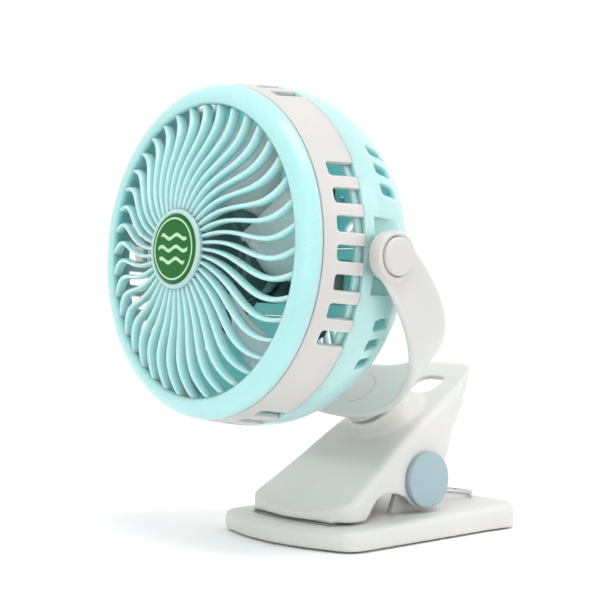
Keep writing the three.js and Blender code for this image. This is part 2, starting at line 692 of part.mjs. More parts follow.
function tiltScrew(side) {
  const x = RECESS_X + GAP;
  const screw = join(rod(PIVOT_SCREW_R, EYE_X0 - PIVOT_SCREW_L + 1, x + 0.5, 8), rod(PIVOT_SCREW_HEAD_R, x, x + 1.6, 16));
  return side > 0 ? alongX(screw) : mirrored(alongX(screw));
}

// ---------------------------------------------------------------- yoke, origin at the tilt pivot, swivel axis +Z
function yokeStrap() {
  const rings = [];
  const steps = 22;
  const half = YOKE_T / 2;
  const c = 0.8;
  for (let i = 0; i <= steps; i++) {
    const t = i / steps;
    const a = t * Math.PI;
    const x = (YOKE_IN + half) * Math.cos(a);
    const z = -YOKE_LEG - (YOKE_SAG + half) * Math.sin(a);
    const normal = V(Math.cos(a) / (YOKE_IN + half), 0, -Math.sin(a) / (YOKE_SAG + half)).normalize();
    const w = (YOKE_END_W + (YOKE_MID_W - YOKE_END_W) * Math.sin(a)) / 2;
    const at = (n, y) => V(x, y, z).addScaledVector(normal, n);
    rings.push([
      at(-half, -w + c), at(-half, w - c), at(c - half, w), at(half - c, w),
      at(half, w - c), at(half, c - w), at(half - c, -w), at(c - half, -w),
    ]);
  }
  const end = (ring, z) => ring.map((p) => V(p.x, p.y, z));
  return lofted([end(rings[0], 0), ...rings, end(rings[steps], 0)]);
}

function yoke() {
  let body = yokeStrap();
  const eye = alongX(turned([
    [0, EYE_X0], [EYE_R, EYE_X0], [EYE_R, EYE_X1 - 1], [EYE_R - 1, EYE_X1], [0, EYE_X1],
  ], 24));
  const bottom = -YOKE_DEPTH;
  const boss = turned([
    [0, bottom - 1], [BOSS_R, bottom - 1], [BOSS_R, -BOSS_END + 0.8], [BOSS_R - 0.8, -BOSS_END], [0, -BOSS_END],
  ], 24);
  body = join(body, eye, mirrored(eye), boss);
  const recess = alongX(rod(CAP_R + GAP, RECESS_X, EYE_X1 + 5, 24));
  const bore = alongX(rod(SPIGOT_R + RUN, EYE_X0 - 2, EYE_X1, 16));
  const head = rod(SWIVEL_CAP_R + GAP, bottom - BOLT_SINK, bottom + 12, 20);
  const hole = rod(BOLT_R + RUN, -BOSS_END - 2, bottom + 2, 16);
  return cut(body, recess, bore, mirrored(recess), mirrored(bore), head, hole);
}

function tiltCap(side) {
  const x = RECESS_X + GAP + 1.6 + GAP;
  const top = EYE_X1 + CAP_PROUD;
  const cap = turned([
    [0, x], [CAP_R, x], [CAP_R, top - 1.1], [CAP_R - 0.9, top - 0.3], [0, top + 0.4],
  ], 24);
  return side > 0 ? alongX(cap) : mirrored(alongX(cap));
}

function swivelBolt() {
  const under = -YOKE_DEPTH - BOLT_SINK + GAP;
  const end = -SEAT_L - swivelDepth() - 3.4;
  return join(rod(BOLT_R, end, under + 0.5, 16), turned([
    [0, under], [BOLT_HEAD_R, under], [BOLT_HEAD_R, under + BOLT_HEAD_T - 1], [BOLT_HEAD_R - 1.4, under + BOLT_HEAD_T],
    [0, under + BOLT_HEAD_T + 0.3],
  ], 24));
}

function swivelCap() {
  const z = -YOKE_DEPTH - BOLT_SINK + GAP + BOLT_HEAD_T + 0.3 + GAP;
  const r = SWIVEL_CAP_R;
  return turned([[0, z], [r, z], [r, -YOKE_DEPTH + 0.2], [r - 0.5, -YOKE_DEPTH + 0.6], [0, -YOKE_DEPTH + 0.8]], 24);
}

function swivelWasher() {
  const top = -BOSS_END - GAP;
  return turned([
    [BOLT_R + GAP, top], [BOSS_R - 1, top], [BOSS_R - 1, top - WASHER_T], [BOLT_R + GAP, top - WASHER_T],
    [BOLT_R + GAP, top],
  ], 24);
}

// ---------------------------------------------------------------- clip
// half width and height of the deck's rim along y
const WAIST = [
  [-44, 29], [-36, 30.3], [-30, 29.7], [-23.5, 28.2], [-15, 26.5], [-3.1, 25], [16.2, 23.6], [35.1, 21.5], [53, 18.5],
];
const CREST = [
  [-44, 13.9], [-36, 16.6], [-30, 20.1], [-23.5, 24.6], [-15, 30.4], [-3.1, 38.7], [16.2, 50.2], [35.1, 61.9], [53, 71.9],
];
const REAR_EDGE = [[28.6, 36], [38, 53.5], [45, 63.5]]; // y, z of the side walls' rear edge above the hinge
const JAW_FRONT_Y = BASE_FRONT_Y + JAW_BACK;
const GRIP_Y = JAW_FRONT_Y + GRIP_IN + GRIP_L / 2;
const baseTop = (y) => BASE_T + BASE_RISE * (y - HINGE_Y);
const jawUnder = (y) => baseTop(y) + 2 * (GRIP_T - GRIP_SINK) + GAP; // underside of the front paddle

function deckPoint(y) {
  const z = along(CREST, y) - JAW_CREST;
  const slope = Math.atan2(along(CREST, y + 1) - along(CREST, y - 1), 2);
  return { y, z, slope };
}

// how deep the deck lies below the collar's top, along the swivel axis
function swivelDepth() {
  let depth = 0;
  const p = SEAT.clone();
  while (p.z > along(CREST, p.y) - JAW_CREST - JAW_WALL - 1.5 && depth < 40) {
    p.addScaledVector(AXIS, -0.1);
    depth += 0.1;
  }
  return depth;
}

function jawRing(y, inset, top, bottom) {
  const w = along(WAIST, y) - inset;
  const z = along(CREST, y) - top;
  const dish = inset > 0 ? JAW_CREST + 0.2 : JAW_CREST;
  const r = inset > 0 ? 1.5 : 3;
  const side = [[w, bottom], [w, z - r], [w - 0.3 * r, z - 0.35 * r], [w - r, z]];
  const deck = [[0.72 * w, z - 0.35 * dish], [0.36 * w, z - 0.85 * dish], [0, z - dish]];
  const half = [...side, ...deck];
  const other = half.slice(0, -1).reverse().map(([x, h]) => [-x, h]);
  return [...half, ...other].map(([x, h]) => V(x, y, h));
}

function stations(y0, y1, step) {
  const n = Math.round((y1 - y0) / step);
  return Array.from({ length: n + 1 }, (_, i) => y0 + ((y1 - y0) * i) / n);
}

// side view of the upper jaw: paddle, arch, hinge lobe and the underside of the handle
function jawSide() {
  const shape = new THREE.Shape();
  const r = LOBE_R;
  const [low, mid, high] = REAR_EDGE;
  shape.moveTo(JAW_FRONT_Y - 8, jawUnder(JAW_FRONT_Y - 8));
  shape.lineTo(PADDLE_Y, jawUnder(PADDLE_Y));
  shape.bezierCurveTo(PADDLE_Y + 5, jawUnder(PADDLE_Y) + 4, ARCH_Y - 8, ARCH_Z, ARCH_Y, ARCH_Z);
  shape.bezierCurveTo(ARCH_Y + 7, ARCH_Z, HINGE_Y - r - 1, HINGE_Z - r / 2, HINGE_Y - r * 0.8, HINGE_Z - r * 0.6);
  shape.absarc(HINGE_Y, HINGE_Z, r, Math.PI + 0.6435, 2 * Math.PI, false);
  shape.bezierCurveTo(HINGE_Y + r, HINGE_Z + r / 2, low[0] - 1, low[1] - 5, low[0], low[1]);
  shape.bezierCurveTo(low[0] + 1.5, low[1] + 7, mid[0] - 4, mid[1] - 5.5, mid[0], mid[1]);
  shape.bezierCurveTo(mid[0] + 3.5, mid[1] + 4.5, high[0] - 1.5, high[1] - 3, high[0], high[1]);
  shape.lineTo(JAW_REAR_Y + 6, high[1] + (JAW_REAR_Y + 6 - high[0]) * 0.5);
  shape.lineTo(JAW_REAR_Y + 6, 110);
  shape.lineTo(JAW_FRONT_Y - 8, 110);
  return shape;
}

// x, y plan of the upper jaw with its bowed front and rounded handle end
function jawPlan() {
  const f = JAW_FRONT_Y;
  const e = JAW_REAR_Y;
  const w = BASE_FRONT_W;
  const h = HANDLE_W / 2;
  const corner = along(WAIST, f) + 0.5;
  const shape = new THREE.Shape();
  shape.moveTo(-corner + 7, f + 4.2);
  shape.quadraticCurveTo(0, f - 3.8, corner - 7, f + 4.2);
  shape.quadraticCurveTo(corner, f + 6.5, corner + 0.6, f + 14);
  shape.lineTo(w, f + 20);
  shape.lineTo(w, e - 15);
  shape.lineTo(h + 0.8, e - 15);
  shape.bezierCurveTo(h, e - 6, h - 6, e, h - 13.5, e);
  shape.lineTo(-h + 13.5, e);
  shape.bezierCurveTo(-h + 6, e, -h, e - 6, -h - 0.8, e - 15);
  shape.lineTo(-w, e - 15);
  shape.lineTo(-w, f + 20);
  shape.lineTo(-corner - 0.6, f + 14);
  shape.quadraticCurveTo(-corner, f + 6.5, -corner + 7, f + 4.2);
  return shape;
}

// a side-view outline in y, z spread across x
function across(shape, half, curveSegments = 5) {
  const slab = raised(shape, -half, half, curveSegments);
  return place(slab, new THREE.Matrix4().makeBasis(V(0, 1, 0), V(0, 0, 1), V(1, 0, 0)));
}

// turns a solid made along Z so that it lies along the swivel axis below the pivot
function onAxis(solid) {
  const turn = new THREE.Matrix4().makeRotationX(lean);
  turn.setPosition(PIVOT);
  return place(solid, turn);
}

function upperJaw() {
  const low = jawUnder(JAW_FRONT_Y) - 6;
  const skin = lofted(stations(JAW_FRONT_Y - 4, JAW_REAR_Y + 1, 7).map((y) => jawRing(y, 0, 0, low)));
  const core = lofted(stations(PADDLE_Y - 2, JAW_REAR_Y - JAW_WALL, 9).map((y) => jawRing(y, JAW_WALL, JAW_WALL, low - 1)));
  const collar = onAxis(turned([
    [0, -SEAT_L], [COLLAR_R - 0.8, -SEAT_L], [COLLAR_R, -SEAT_L - 0.8], [COLLAR_R + 0.2, -SEAT_L - 5.5],
    [COLLAR_R + 1.2, -SEAT_L - 7.6], [COLLAR_R + 3, -SEAT_L - 9.4], [COLLAR_R + 5, -SEAT_L - 10.4],
    [COLLAR_R + 10, -SEAT_L - 15.6], [COLLAR_R + 10, -SEAT_L - 30], [0, -SEAT_L - 30],
  ], 24));
  const shape = across(jawSide(), BASE_FRONT_W);
  let jaw = join(skin, collar.intersect(across(jawSide(), along(WAIST, HINGE_Y) - 1)));
  jaw = cut(jaw, core);
  const anchor = onAxis(rod(BOLT_R + 4, -SEAT_L - swivelDepth(), -SEAT_L - 2, 12));
  const underDeck = lofted(stations(PADDLE_Y - 2, JAW_REAR_Y, 6).map((y) => jawRing(y, 0, 0, low)));
  jaw = join(jaw, anchor.intersect(underDeck));
  jaw = jaw.intersect(shape).intersect(raised(jawPlan(), -10, 120, 5));
  const hinge = alongX(rod(HINGE_CAP_SPIGOT_R + GAP, -BASE_FRONT_W, BASE_FRONT_W, 20));
  const bolt = onAxis(rod(BOLT_R + RUN, -SEAT_L - 40, -SEAT_L + 2, 16));
  const hollow = onAxis(rod(BOLT_R + 4.6, -SEAT_L - swivelDepth() - 12, -SEAT_L - swivelDepth(), 6));
  const deck = deckPoint(HANDLE_HOLE_Y);
  const grip = roundedRect(
    -HANDLE_HOLE_W / 2, HANDLE_HOLE_W / 2, -HANDLE_HOLE_H / 2, HANDLE_HOLE_H / 2, HANDLE_HOLE_H / 2,
  );
  const through = place(raised(grip, -14, 14, 6), new THREE.Matrix4().makeRotationX(deck.slope));
  const seat = block(...gripBounds(GAP), jawUnder(GRIP_Y) - 5, jawUnder(GRIP_Y) + GRIP_SINK);
  const face = along(WAIST, HINGE_Y);
  const spot = moved(alongX(rod(HINGE_CAP_R + GAP, face, face + 10, 28)), 0, HINGE_Y, HINGE_Z);
  jaw = cut(jaw, spot, mirrored(spot), moved(hinge, 0, HINGE_Y, HINGE_Z), bolt, hollow);
  return cut(jaw, moved(through, 0, deck.y, deck.z), seat);
}

function swivelNut() {
  const top = -SEAT_L - swivelDepth() - GAP;
  return onAxis(cut(rod(BOLT_R + 2.5, top - 3, top, 6), rod(BOLT_R + GAP, top - 5, top + 2, 16)));
}

function basePlan(inset) {
  const f = BASE_FRONT_Y + inset;
  const e = BASE_REAR_Y - inset;
  const a = BASE_FRONT_W / 2 - inset;
  const b = BASE_REAR_W / 2 - inset;
  const shape = new THREE.Shape();
  shape.moveTo(-a + 8, f + BASE_BOW - 1.5);
  shape.quadraticCurveTo(0, f - BASE_BOW + 1.5, a - 8, f + BASE_BOW - 1.5);
  shape.quadraticCurveTo(a, f + BASE_BOW, a, f + BASE_BOW + 9);
  shape.lineTo(b, e - 20);
  shape.lineTo(b, e - 7);
  shape.lineTo(b - 6, e);
  shape.lineTo(-b + 6, e);
  shape.lineTo(-b, e - 7);
  shape.lineTo(-b, e - 20);
  shape.lineTo(-a, f + BASE_BOW + 9);
  shape.quadraticCurveTo(-a, f + BASE_BOW, -a + 8, f + BASE_BOW - 1.5);
  return shape;
}

// a plate with bevelled edges whose top slopes up to the rear
function plate(shape, z0, z1, bevel) {
  const geometry = new THREE.ExtrudeGeometry(shape, {
    depth: z1 - z0 - bevel, bevelEnabled: true, bevelThickness: bevel, bevelSize: bevel, bevelOffset: -bevel,
    bevelSegments: 2, curveSegments: 6,
  });
  const at = geometry.attributes.position;
  for (let i = 0; i < at.count; i++) {
    at.setZ(i, at.getZ(i) * (1 + (BASE_RISE * (at.getY(i) - HINGE_Y)) / (z1 - z0)));
  }
  geometry.translate(0, 0, z0);
  return cut(closed(geometry), block(-REACH, REACH, -REACH, REACH, z0 - 2 * bevel, z0));
}

function lowerJaw() {
  const under = SOLE_T / 2;
  const slab = plate(basePlan(0), under, BASE_T, BASE_BEVEL);
  const ears = [-1, 1].map((s) => {
    const shape = new THREE.Shape();
    shape.moveTo(HINGE_Y - 13, BASE_T - 1);
    shape.lineTo(HINGE_Y + 13, BASE_T - 1);
    shape.lineTo(HINGE_Y + EAR_R, HINGE_Z);
    shape.absarc(HINGE_Y, HINGE_Z, EAR_R, 0, Math.PI, false);
    shape.lineTo(HINGE_Y - 13, BASE_T - 1);
    return moved(across(shape, EAR_T / 2, 6), s * (EAR_X + EAR_T / 2), 0, 0);
  });
  const pin = moved(alongX(rod(HINGE_R + RUN, -BASE_FRONT_W, BASE_FRONT_W, 16)), 0, HINGE_Y, HINGE_Z);
  const sole = raised(basePlan(SOLE_INSET - GAP), -1, SOLE_T + GAP, 6);
  const seat = block(...gripBounds(GAP), baseTop(GRIP_Y) - GRIP_SINK, baseTop(GRIP_Y) + 5);
  return cut(join(slab, ...ears), pin, sole, seat);
}

const baseSole = () => raised(basePlan(SOLE_INSET), 0, SOLE_T, 6);

function gripBounds(slack) {
  const [w, l] = [GRIP_W / 2 + slack, GRIP_L / 2 + slack];
  return [-w, w, GRIP_Y - l, GRIP_Y + l];
}

function gripPad(z0) {
  return raised(roundedRect(...gripBounds(0), 1.5), z0, z0 + GRIP_T - 0.15, 2);
}

function hingePin() {
  const end = along(WAIST, HINGE_Y) - 1.2;
  return moved(alongX(rod(HINGE_R, -end, end, 16, 0.4)), 0, HINGE_Y, HINGE_Z);
}

function hingeCap(side) {
  const face = along(WAIST, HINGE_Y) + GAP;
  const t = HINGE_CAP_T;
  const inner = face - JAW_WALL - 1.2;
  const cap = turned([
    [HINGE_R + RUN, inner], [HINGE_CAP_SPIGOT_R, inner], [HINGE_CAP_SPIGOT_R, face], [HINGE_CAP_R, face],
    [HINGE_CAP_R, face + t - 1], [HINGE_CAP_R - 1, face + t],
    [0, face + t + 0.3], [0, face - 0.6], [HINGE_R + RUN, face - 0.6], [HINGE_R + RUN, inner],
  ], 24);
  const one = moved(alongX(cap), 0, HINGE_Y, HINGE_Z);
  return side > 0 ? one : mirrored(one);
}

// centre line of the double torsion spring, free leg, coil, loop, coil, free leg
function springLine() {
  const loopZ = baseTop(LOOP_Y) + WIRE_R + GAP;
  const reach = (y, z, sign) => {
    const d = Math.hypot(y - HINGE_Y, z - HINGE_Z);
    return Math.atan2(z - HINGE_Z, y - HINGE_Y) + sign * Math.asin(COIL_R / d);
  };
  const legZ = along(CREST, LEG_Y) - JAW_CREST - 2 * JAW_WALL - WIRE_R;
  const up = reach(LEG_Y, legZ, -1);
  const down = reach(LOOP_Y, loopZ, 1);
  const start = up + Math.PI / 2;
  const stop = down - Math.PI / 2 + 2 * Math.PI * COIL_TURNS;
  const half = [];
  const legL = Math.sqrt((LEG_Y - HINGE_Y) ** 2 + (legZ - HINGE_Z) ** 2 - COIL_R ** 2);
  const from = V(-COIL_X, HINGE_Y + COIL_R * Math.cos(start), HINGE_Z + COIL_R * Math.sin(start));
  const legDir = V(0, Math.cos(up), Math.sin(up));
  for (const t of [1, 1 - (2 * WIRE_R) / legL, 0.5, 0.15]) half.push(from.clone().addScaledVector(legDir, legL * t));
  const steps = Math.round(((stop - start) / (2 * Math.PI)) * 8);
  for (let i = 0; i <= steps; i++) {
    const a = start + ((stop - start) * i) / steps;
    const x = -COIL_X + (COIL_PITCH * (a - start)) / (2 * Math.PI);
    half.push(V(x, HINGE_Y + COIL_R * Math.cos(a), HINGE_Z + COIL_R * Math.sin(a)));
  }
  const last = half[half.length - 1];
  const loopR = -last.x;
  const runL = LOOP_Y - loopR - last.y;
  const dir = V(0, Math.cos(down), Math.sin(down));
  for (const t of [0.12, 0.5, 1]) half.push(last.clone().addScaledVector(dir, (runL * t) / dir.y));
  const turn = half[half.length - 1];
  for (let i = 1; i <= 4; i++) {
    const a = (i / 4) * (Math.PI / 2);
    half.push(V(-loopR * Math.cos(a), turn.y + loopR * Math.sin(a), turn.z + (dir.z / dir.y) * loopR * Math.sin(a)));
  }
  const other = half.slice(0, -1).reverse().map((p) => V(-p.x, p.y, p.z));
  return [...half, ...other];
}

function leastSelfGap(line, r) {
  let least = Infinity;
  const fine = new THREE.CatmullRomCurve3(line).getPoints(line.length * 4);
  for (let i = 0; i < fine.length; i++) {
    let run = 0;
    for (let j = i + 1; j < fine.length; j++) {
      run += fine[j].distanceTo(fine[j - 1]);
      if (run > 10 * r) least = Math.min(least, fine[i].distanceTo(fine[j]) - 2 * r);
    }
  }
  return least;
}

function torsionSpring() {
  const line = springLine();
  console.log(`torsion spring, least gap to itself: ${leastSelfGap(line, WIRE_R).toFixed(2)} mm`);
  const rings = [];
  let side = V(1, 0, 0);
  line.forEach((p, i) => {
    const a = line[Math.max(i - 1, 0)];
    const b = line[Math.min(i + 1, line.length - 1)];
    const tangent = V(0, 0, 0).subVectors(b, a).normalize();
    side = side.clone().addScaledVector(tangent, -side.dot(tangent)).normalize();
    const up = V(0, 0, 0).crossVectors(tangent, side);
    rings.push(Array.from({ length: 5 }, (_, k) => {
      const t = (k / 5) * 2 * Math.PI;
      return p.clone().addScaledVector(side, WIRE_R * Math.cos(t)).addScaledVector(up, WIRE_R * Math.sin(t));
    }));
  });
  return lofted(rings);
}

// ---------------------------------------------------------------- the assembly
const MINT = ['#a9e6e1', 0.36, 0];
const WHITE = ['#e4e1dc', 0.38, 0];
const GREY_WHITE = ['#d6d5cf', 0.42, 0];
const STEEL = ['#b9bcbe', 0.32, 1];
const RUBBER = ['#8d9590', 0.85, 0];
const DARK = ['#2f3a3c', 0.55, 0];

function mesh(name, solid, [color, roughness, metalness]) {
  const material = new THREE.MeshStandardMaterial({ color, roughness, metalness });
  const one = new THREE.Mesh(geometryOf(solid), material);
  one.name = name;
  return one;
}

const head = new THREE.Group();
head.position.copy(PIVOT);
head.rotation.x = rad(90 - HEAD_TILT);
head.add(
  mesh('front_grille', frontGrille(), MINT),
  mesh('badge', badge(), ['#2f7a33', 0.45, 0]),
  mesh('body_band', bodyBand(), WHITE),
  mesh('rear_cover', rearCover(), MINT),
  mesh('motor_mount', motorMount(), DARK),
  mesh('motor', motor(), ['#8b9294', 0.35, 1]),
  mesh('motor_shaft', motorShaft(), STEEL),
  mesh('rotor', rotor(), ['#93cfcd', 0.4, 0]),
  mesh('battery', battery(), ['#3b6fb0', 0.4, 0]),
  mesh('contact_right', contact(1), STEEL),
  mesh('contact_left', contact(-1), STEEL),
  mesh('battery_door', batteryDoor(), MINT),
  mesh('battery_door_screw', doorScrew(), STEEL),
  mesh('circuit_board', circuitBoard(), ['#2e6b45', 0.5, 0]),
  mesh('speed_button', speedButton(), WHITE),
  mesh('charge_port', chargePort(), STEEL),
  mesh('indicator_lamp', lamp(), ['#d9efe9', 0.2, 0]),
  mesh('tilt_washer_right', tiltWasher(1), RUBBER),
  mesh('tilt_washer_left', tiltWasher(-1), RUBBER),
  mesh('tilt_screw_right', tiltScrew(1), STEEL),
  mesh('tilt_screw_left', tiltScrew(-1), STEEL),
);
for (let i = 0; i < MOUNT_ARMS; i++) head.add(mesh(`mount_screw_${i + 1}`, mountScrew(i), STEEL));

const carrier = new THREE.Group();
carrier.position.copy(PIVOT);
carrier.rotation.x = lean;
carrier.add(
  mesh('swivel_bolt', swivelBolt(), STEEL),
  mesh('swivel_washer', swivelWasher(), RUBBER),
);

const eyes = new THREE.Group();
eyes.position.copy(PIVOT);
eyes.rotation.x = lean;
eyes.add(
  mesh('yoke', yoke(), GREY_WHITE),
  mesh('tilt_cap_right', tiltCap(1), GREY_WHITE),
  mesh('tilt_cap_left', tiltCap(-1), GREY_WHITE),
  mesh('swivel_cap', swivelCap(), GREY_WHITE),
);

const clip = new THREE.Group();
clip.add(
  mesh('lower_jaw', lowerJaw(), GREY_WHITE),
  mesh('base_sole', baseSole(), RUBBER),
  mesh('lower_grip_pad', gripPad(baseTop(GRIP_Y) - GRIP_SINK + 0.15), RUBBER),
  mesh('upper_grip_pad', gripPad(jawUnder(GRIP_Y) + GRIP_SINK - GRIP_T), RUBBER),
  mesh('upper_jaw', upperJaw(), GREY_WHITE),
  mesh('swivel_nut', swivelNut(), STEEL),
  mesh('hinge_pin', hingePin(), STEEL),
  mesh('hinge_cap_right', hingeCap(1), ['#aac3ca', 0.4, 0]),
  mesh('hinge_cap_left', hingeCap(-1), ['#aac3ca', 0.4, 0]),
  mesh('torsion_spring', torsionSpring(), STEEL),
);

const fan = new THREE.Group();
fan.add(clip, carrier, eyes, head);
fan.updateMatrixWorld(true);

export default fan;
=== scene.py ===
# Looks for a rechargeable clip fan: a round head in a swivelling U-shaped yoke, on a sprung clamp that is its foot.
# New shapes are worked out in millimetres and written to their meshes in metres, where the solids they stand for are.
import math

import bmesh
import bpy
import numpy as np
from mathutils import Matrix, Vector
from mathutils.geometry import tessellate_polygon


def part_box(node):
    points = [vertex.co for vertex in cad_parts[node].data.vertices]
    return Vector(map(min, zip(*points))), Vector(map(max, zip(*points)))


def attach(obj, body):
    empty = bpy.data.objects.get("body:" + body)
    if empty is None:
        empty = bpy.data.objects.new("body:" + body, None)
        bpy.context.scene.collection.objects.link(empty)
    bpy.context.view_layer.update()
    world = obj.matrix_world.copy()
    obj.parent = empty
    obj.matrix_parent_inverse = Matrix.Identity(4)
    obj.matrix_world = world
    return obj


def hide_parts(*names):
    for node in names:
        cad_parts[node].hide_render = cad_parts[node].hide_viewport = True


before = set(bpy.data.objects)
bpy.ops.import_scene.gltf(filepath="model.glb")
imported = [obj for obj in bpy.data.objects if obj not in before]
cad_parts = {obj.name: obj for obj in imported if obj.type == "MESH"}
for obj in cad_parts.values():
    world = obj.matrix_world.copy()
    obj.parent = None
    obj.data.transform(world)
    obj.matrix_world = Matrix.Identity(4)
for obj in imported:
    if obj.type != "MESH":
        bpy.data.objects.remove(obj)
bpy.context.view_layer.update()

# ---------------------------------------------------------------- camera
# A long lens held level with the middle of the head, off to the fan's front right, where the photograph was taken from.
# Its place and turn were fitted to the head's ellipses, the foot's corners and the hinge disc.


def placed(name, data):
    """An object for a mesh, a lamp or a camera, in the scene and at the origin."""
    made = bpy.data.objects.new(name, data)
    bpy.context.scene.collection.objects.link(made)
    return made


camera = placed("camera", bpy.data.cameras.new("camera"))
camera.data.sensor_width = 36.0
camera.data.lens = 92.15
camera.data.clip_start = 0.05
camera.matrix_world = Matrix((
    (0.66024, -0.01866, 0.75082, 0.46557),
    (0.75081, -0.00878, -0.66046, -0.44701),
    (0.01891, 0.99979, 0.00821, 0.10404),
    (0.0, 0.0, 0.0, 1.0),
))
bpy.context.scene.camera = camera
bpy.context.scene.view_settings.view_transform = "Standard"

# ---------------------------------------------------------------- floor and light
# A wide pale floor under a white studio surround, so that the fan stands on white with one soft shadow.
# A square soft box overhead to the right, a weaker one behind, and a low fill at the front.
floor_mesh = bpy.data.meshes.new("floor")
floor_mesh.from_pydata([(-6, -6, 0), (6, -6, 0), (6, 6, 0), (-6, 6, 0)], [], [(0, 1, 2, 3)])
placed("floor", floor_mesh)
floor_white = bpy.data.materials.new("floor_white")
floor_white.use_nodes = True
floor_white.node_tree.nodes["Principled BSDF"].inputs["Base Color"].default_value = (0.97, 0.97, 0.97, 1)
floor_white.node_tree.nodes["Principled BSDF"].inputs["Roughness"].default_value = 0.7
floor_mesh.materials.append(floor_white)

studio = bpy.data.worlds.new("studio")
bpy.context.scene.world = studio
studio.use_nodes = True
studio.node_tree.nodes["Background"].inputs["Color"].default_value = (1, 1, 1, 1)
studio.node_tree.nodes["Background"].inputs["Strength"].default_value = 1.03


def soft_box(name, place, aim, size, watts):
    """A square area light at place that faces aim: its own Z points back from aim, its X lies level."""
    light = bpy.data.lights.new(name, "AREA")
    light.size = size
    light.energy = watts
    back = np.array(place, float) - np.array(aim, float)
    back /= np.linalg.norm(back)
    side = np.cross((0, 0, 1), back)
    side /= np.linalg.norm(side)
    turn = np.eye(4)
    turn[:3] = np.stack([side, np.cross(back, side), back, place], 1)
    placed(name, light).matrix_world = Matrix(turn.tolist())


soft_box("key_light", (0.35, -0.1, 1.05), (0, -0.03, 0.1), 0.6, 4.5)
soft_box("rear_light", (0.75, 0.55, 0.55), (0, -0.03, 0.1), 0.5, 1.0)
soft_box("fill_light", (0.5, -0.8, 0.14), (0, -0.02, 0.06), 0.5, 0.8)

# ---------------------------------------------------------------- clamp, lower jaw
# The lower jaw is a flat plate with rounded edges and two upright ears for the hinge pin: grey-white ABS, satin,
# injection moulded in one piece. A soft grey rubber sole and a grip pad are glued into its shallow pockets.


def worked(tree, operation, *given):
    """The output of a Math node whose inputs are numbers or other nodes' outputs."""
    made = tree.nodes.new("ShaderNodeMath")
    made.operation = operation
    for socket, value in zip(made.inputs, given):
        if isinstance(value, (int, float)):
            socket.default_value = value
        else:
            tree.links.new(value, socket)
    return made.outputs[0]


def skin_group():
    """Moulded skin: a fine grain as bump, a broad faint change of tone, and a roughness that follows the grain."""
    group = bpy.data.node_groups.new("moulded_skin", "ShaderNodeTree")
    for name, kind, value in (
        ("Colour", "NodeSocketColor", (0.8, 0.8, 0.8, 1)), ("Tone", "NodeSocketFloat", 0.05),
        ("Grain Scale", "NodeSocketFloat", 2500.0), ("Grain Depth", "NodeSocketFloat", 0.00002),
        ("Roughness", "NodeSocketFloat", 0.4), ("Spread", "NodeSocketFloat", 0.08),
    ):
        group.interface.new_socket(name, in_out="INPUT", socket_type=kind).default_value = value
    for name, kind in (
        ("Colour", "NodeSocketColor"), ("Roughness", "NodeSocketFloat"), ("Normal", "NodeSocketVector"),
    ):
        group.interface.new_socket(name, in_out="OUTPUT", socket_type=kind)
    node, link = group.nodes.new, group.links.new
    given, out = node("NodeGroupInput"), node("NodeGroupOutput")
    where, fine, broad = node("ShaderNodeTexCoord"), node("ShaderNodeTexNoise"), node("ShaderNodeTexNoise")
    link(where.outputs["Object"], fine.inputs["Vector"])
    link(where.outputs["Object"], broad.inputs["Vector"])
    link(given.outputs["Grain Scale"], fine.inputs["Scale"])
    fine.inputs["Detail"].default_value = 2.0
    broad.inputs["Scale"].default_value = 35.0
    broad.inputs["Detail"].default_value = 4.0

    shade, tint = node("ShaderNodeMapRange"), node("ShaderNodeVectorMath")
    shade.inputs["From Min"].default_value = 0.3
    shade.inputs["From Max"].default_value = 0.7
    tint.operation = "SCALE"
    link(broad.outputs["Fac"], shade.inputs["Value"])
    link(worked(group, "SUBTRACT", 1.0, given.outputs["Tone"]), shade.inputs["To Min"])
    link(given.outputs["Colour"], tint.inputs[0])
    link(shade.outputs[0], tint.inputs["Scale"])
    link(tint.outputs[0], out.inputs["Colour"])

    centred = worked(group, "SUBTRACT", fine.outputs["Fac"], 0.5)
    rough = worked(group, "MULTIPLY_ADD", centred, given.outputs["Spread"], given.outputs["Roughness"])
    link(rough, out.inputs["Roughness"])
    bump = node("ShaderNodeBump")
    link(fine.outputs["Fac"], bump.inputs["Height"])
    link(given.outputs["Grain Depth"], bump.inputs["Distance"])
    link(bump.outputs["Normal"], out.inputs["Normal"])
    return group


moulded_skin = skin_group()


def finish_of(name, colour, rough, tone=0.04, grain=2500.0, depth=0.00002, spread=0.08, metal=0.0, coat=0.0, glow=0.0):
    """A material whose colour, roughness and normal come from the moulded skin with its own values. Glow is the share
    of light that passes below the surface, as it does in thin pale plastic."""
    made = bpy.data.materials.new(name)
    made.use_nodes = True
    shader = made.node_tree.nodes["Principled BSDF"]
    for socket, value in {
        "Metallic": metal, "Coat Weight": coat, "Coat Roughness": 0.12,
        "Subsurface Weight": glow, "Subsurface Radius": (0.6, 1.0, 1.0), "Subsurface Scale": 0.009,
    }.items():
        shader.inputs[socket].default_value = value
    skin_node = made.node_tree.nodes.new("ShaderNodeGroup")
    skin_node.node_tree = moulded_skin
    for socket, value in {
        "Colour": (*colour, 1), "Tone": tone, "Grain Scale": grain, "Grain Depth": depth,
        "Roughness": rough, "Spread": spread,
    }.items():
        skin_node.inputs[socket].default_value = value
    for output, socket in (("Colour", "Base Color"), ("Roughness", "Roughness"), ("Normal", "Normal")):
        made.node_tree.links.new(skin_node.outputs[output], shader.inputs[socket])
    return made


def seat(piece, body, material, nodes=()):
    """Gives a finished piece its material, and lets it ride on its body and stand for its nodes."""
    piece.data.materials.clear()
    piece.data.materials.append(material)
    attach(piece, body)
    if nodes:
        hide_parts(*nodes)


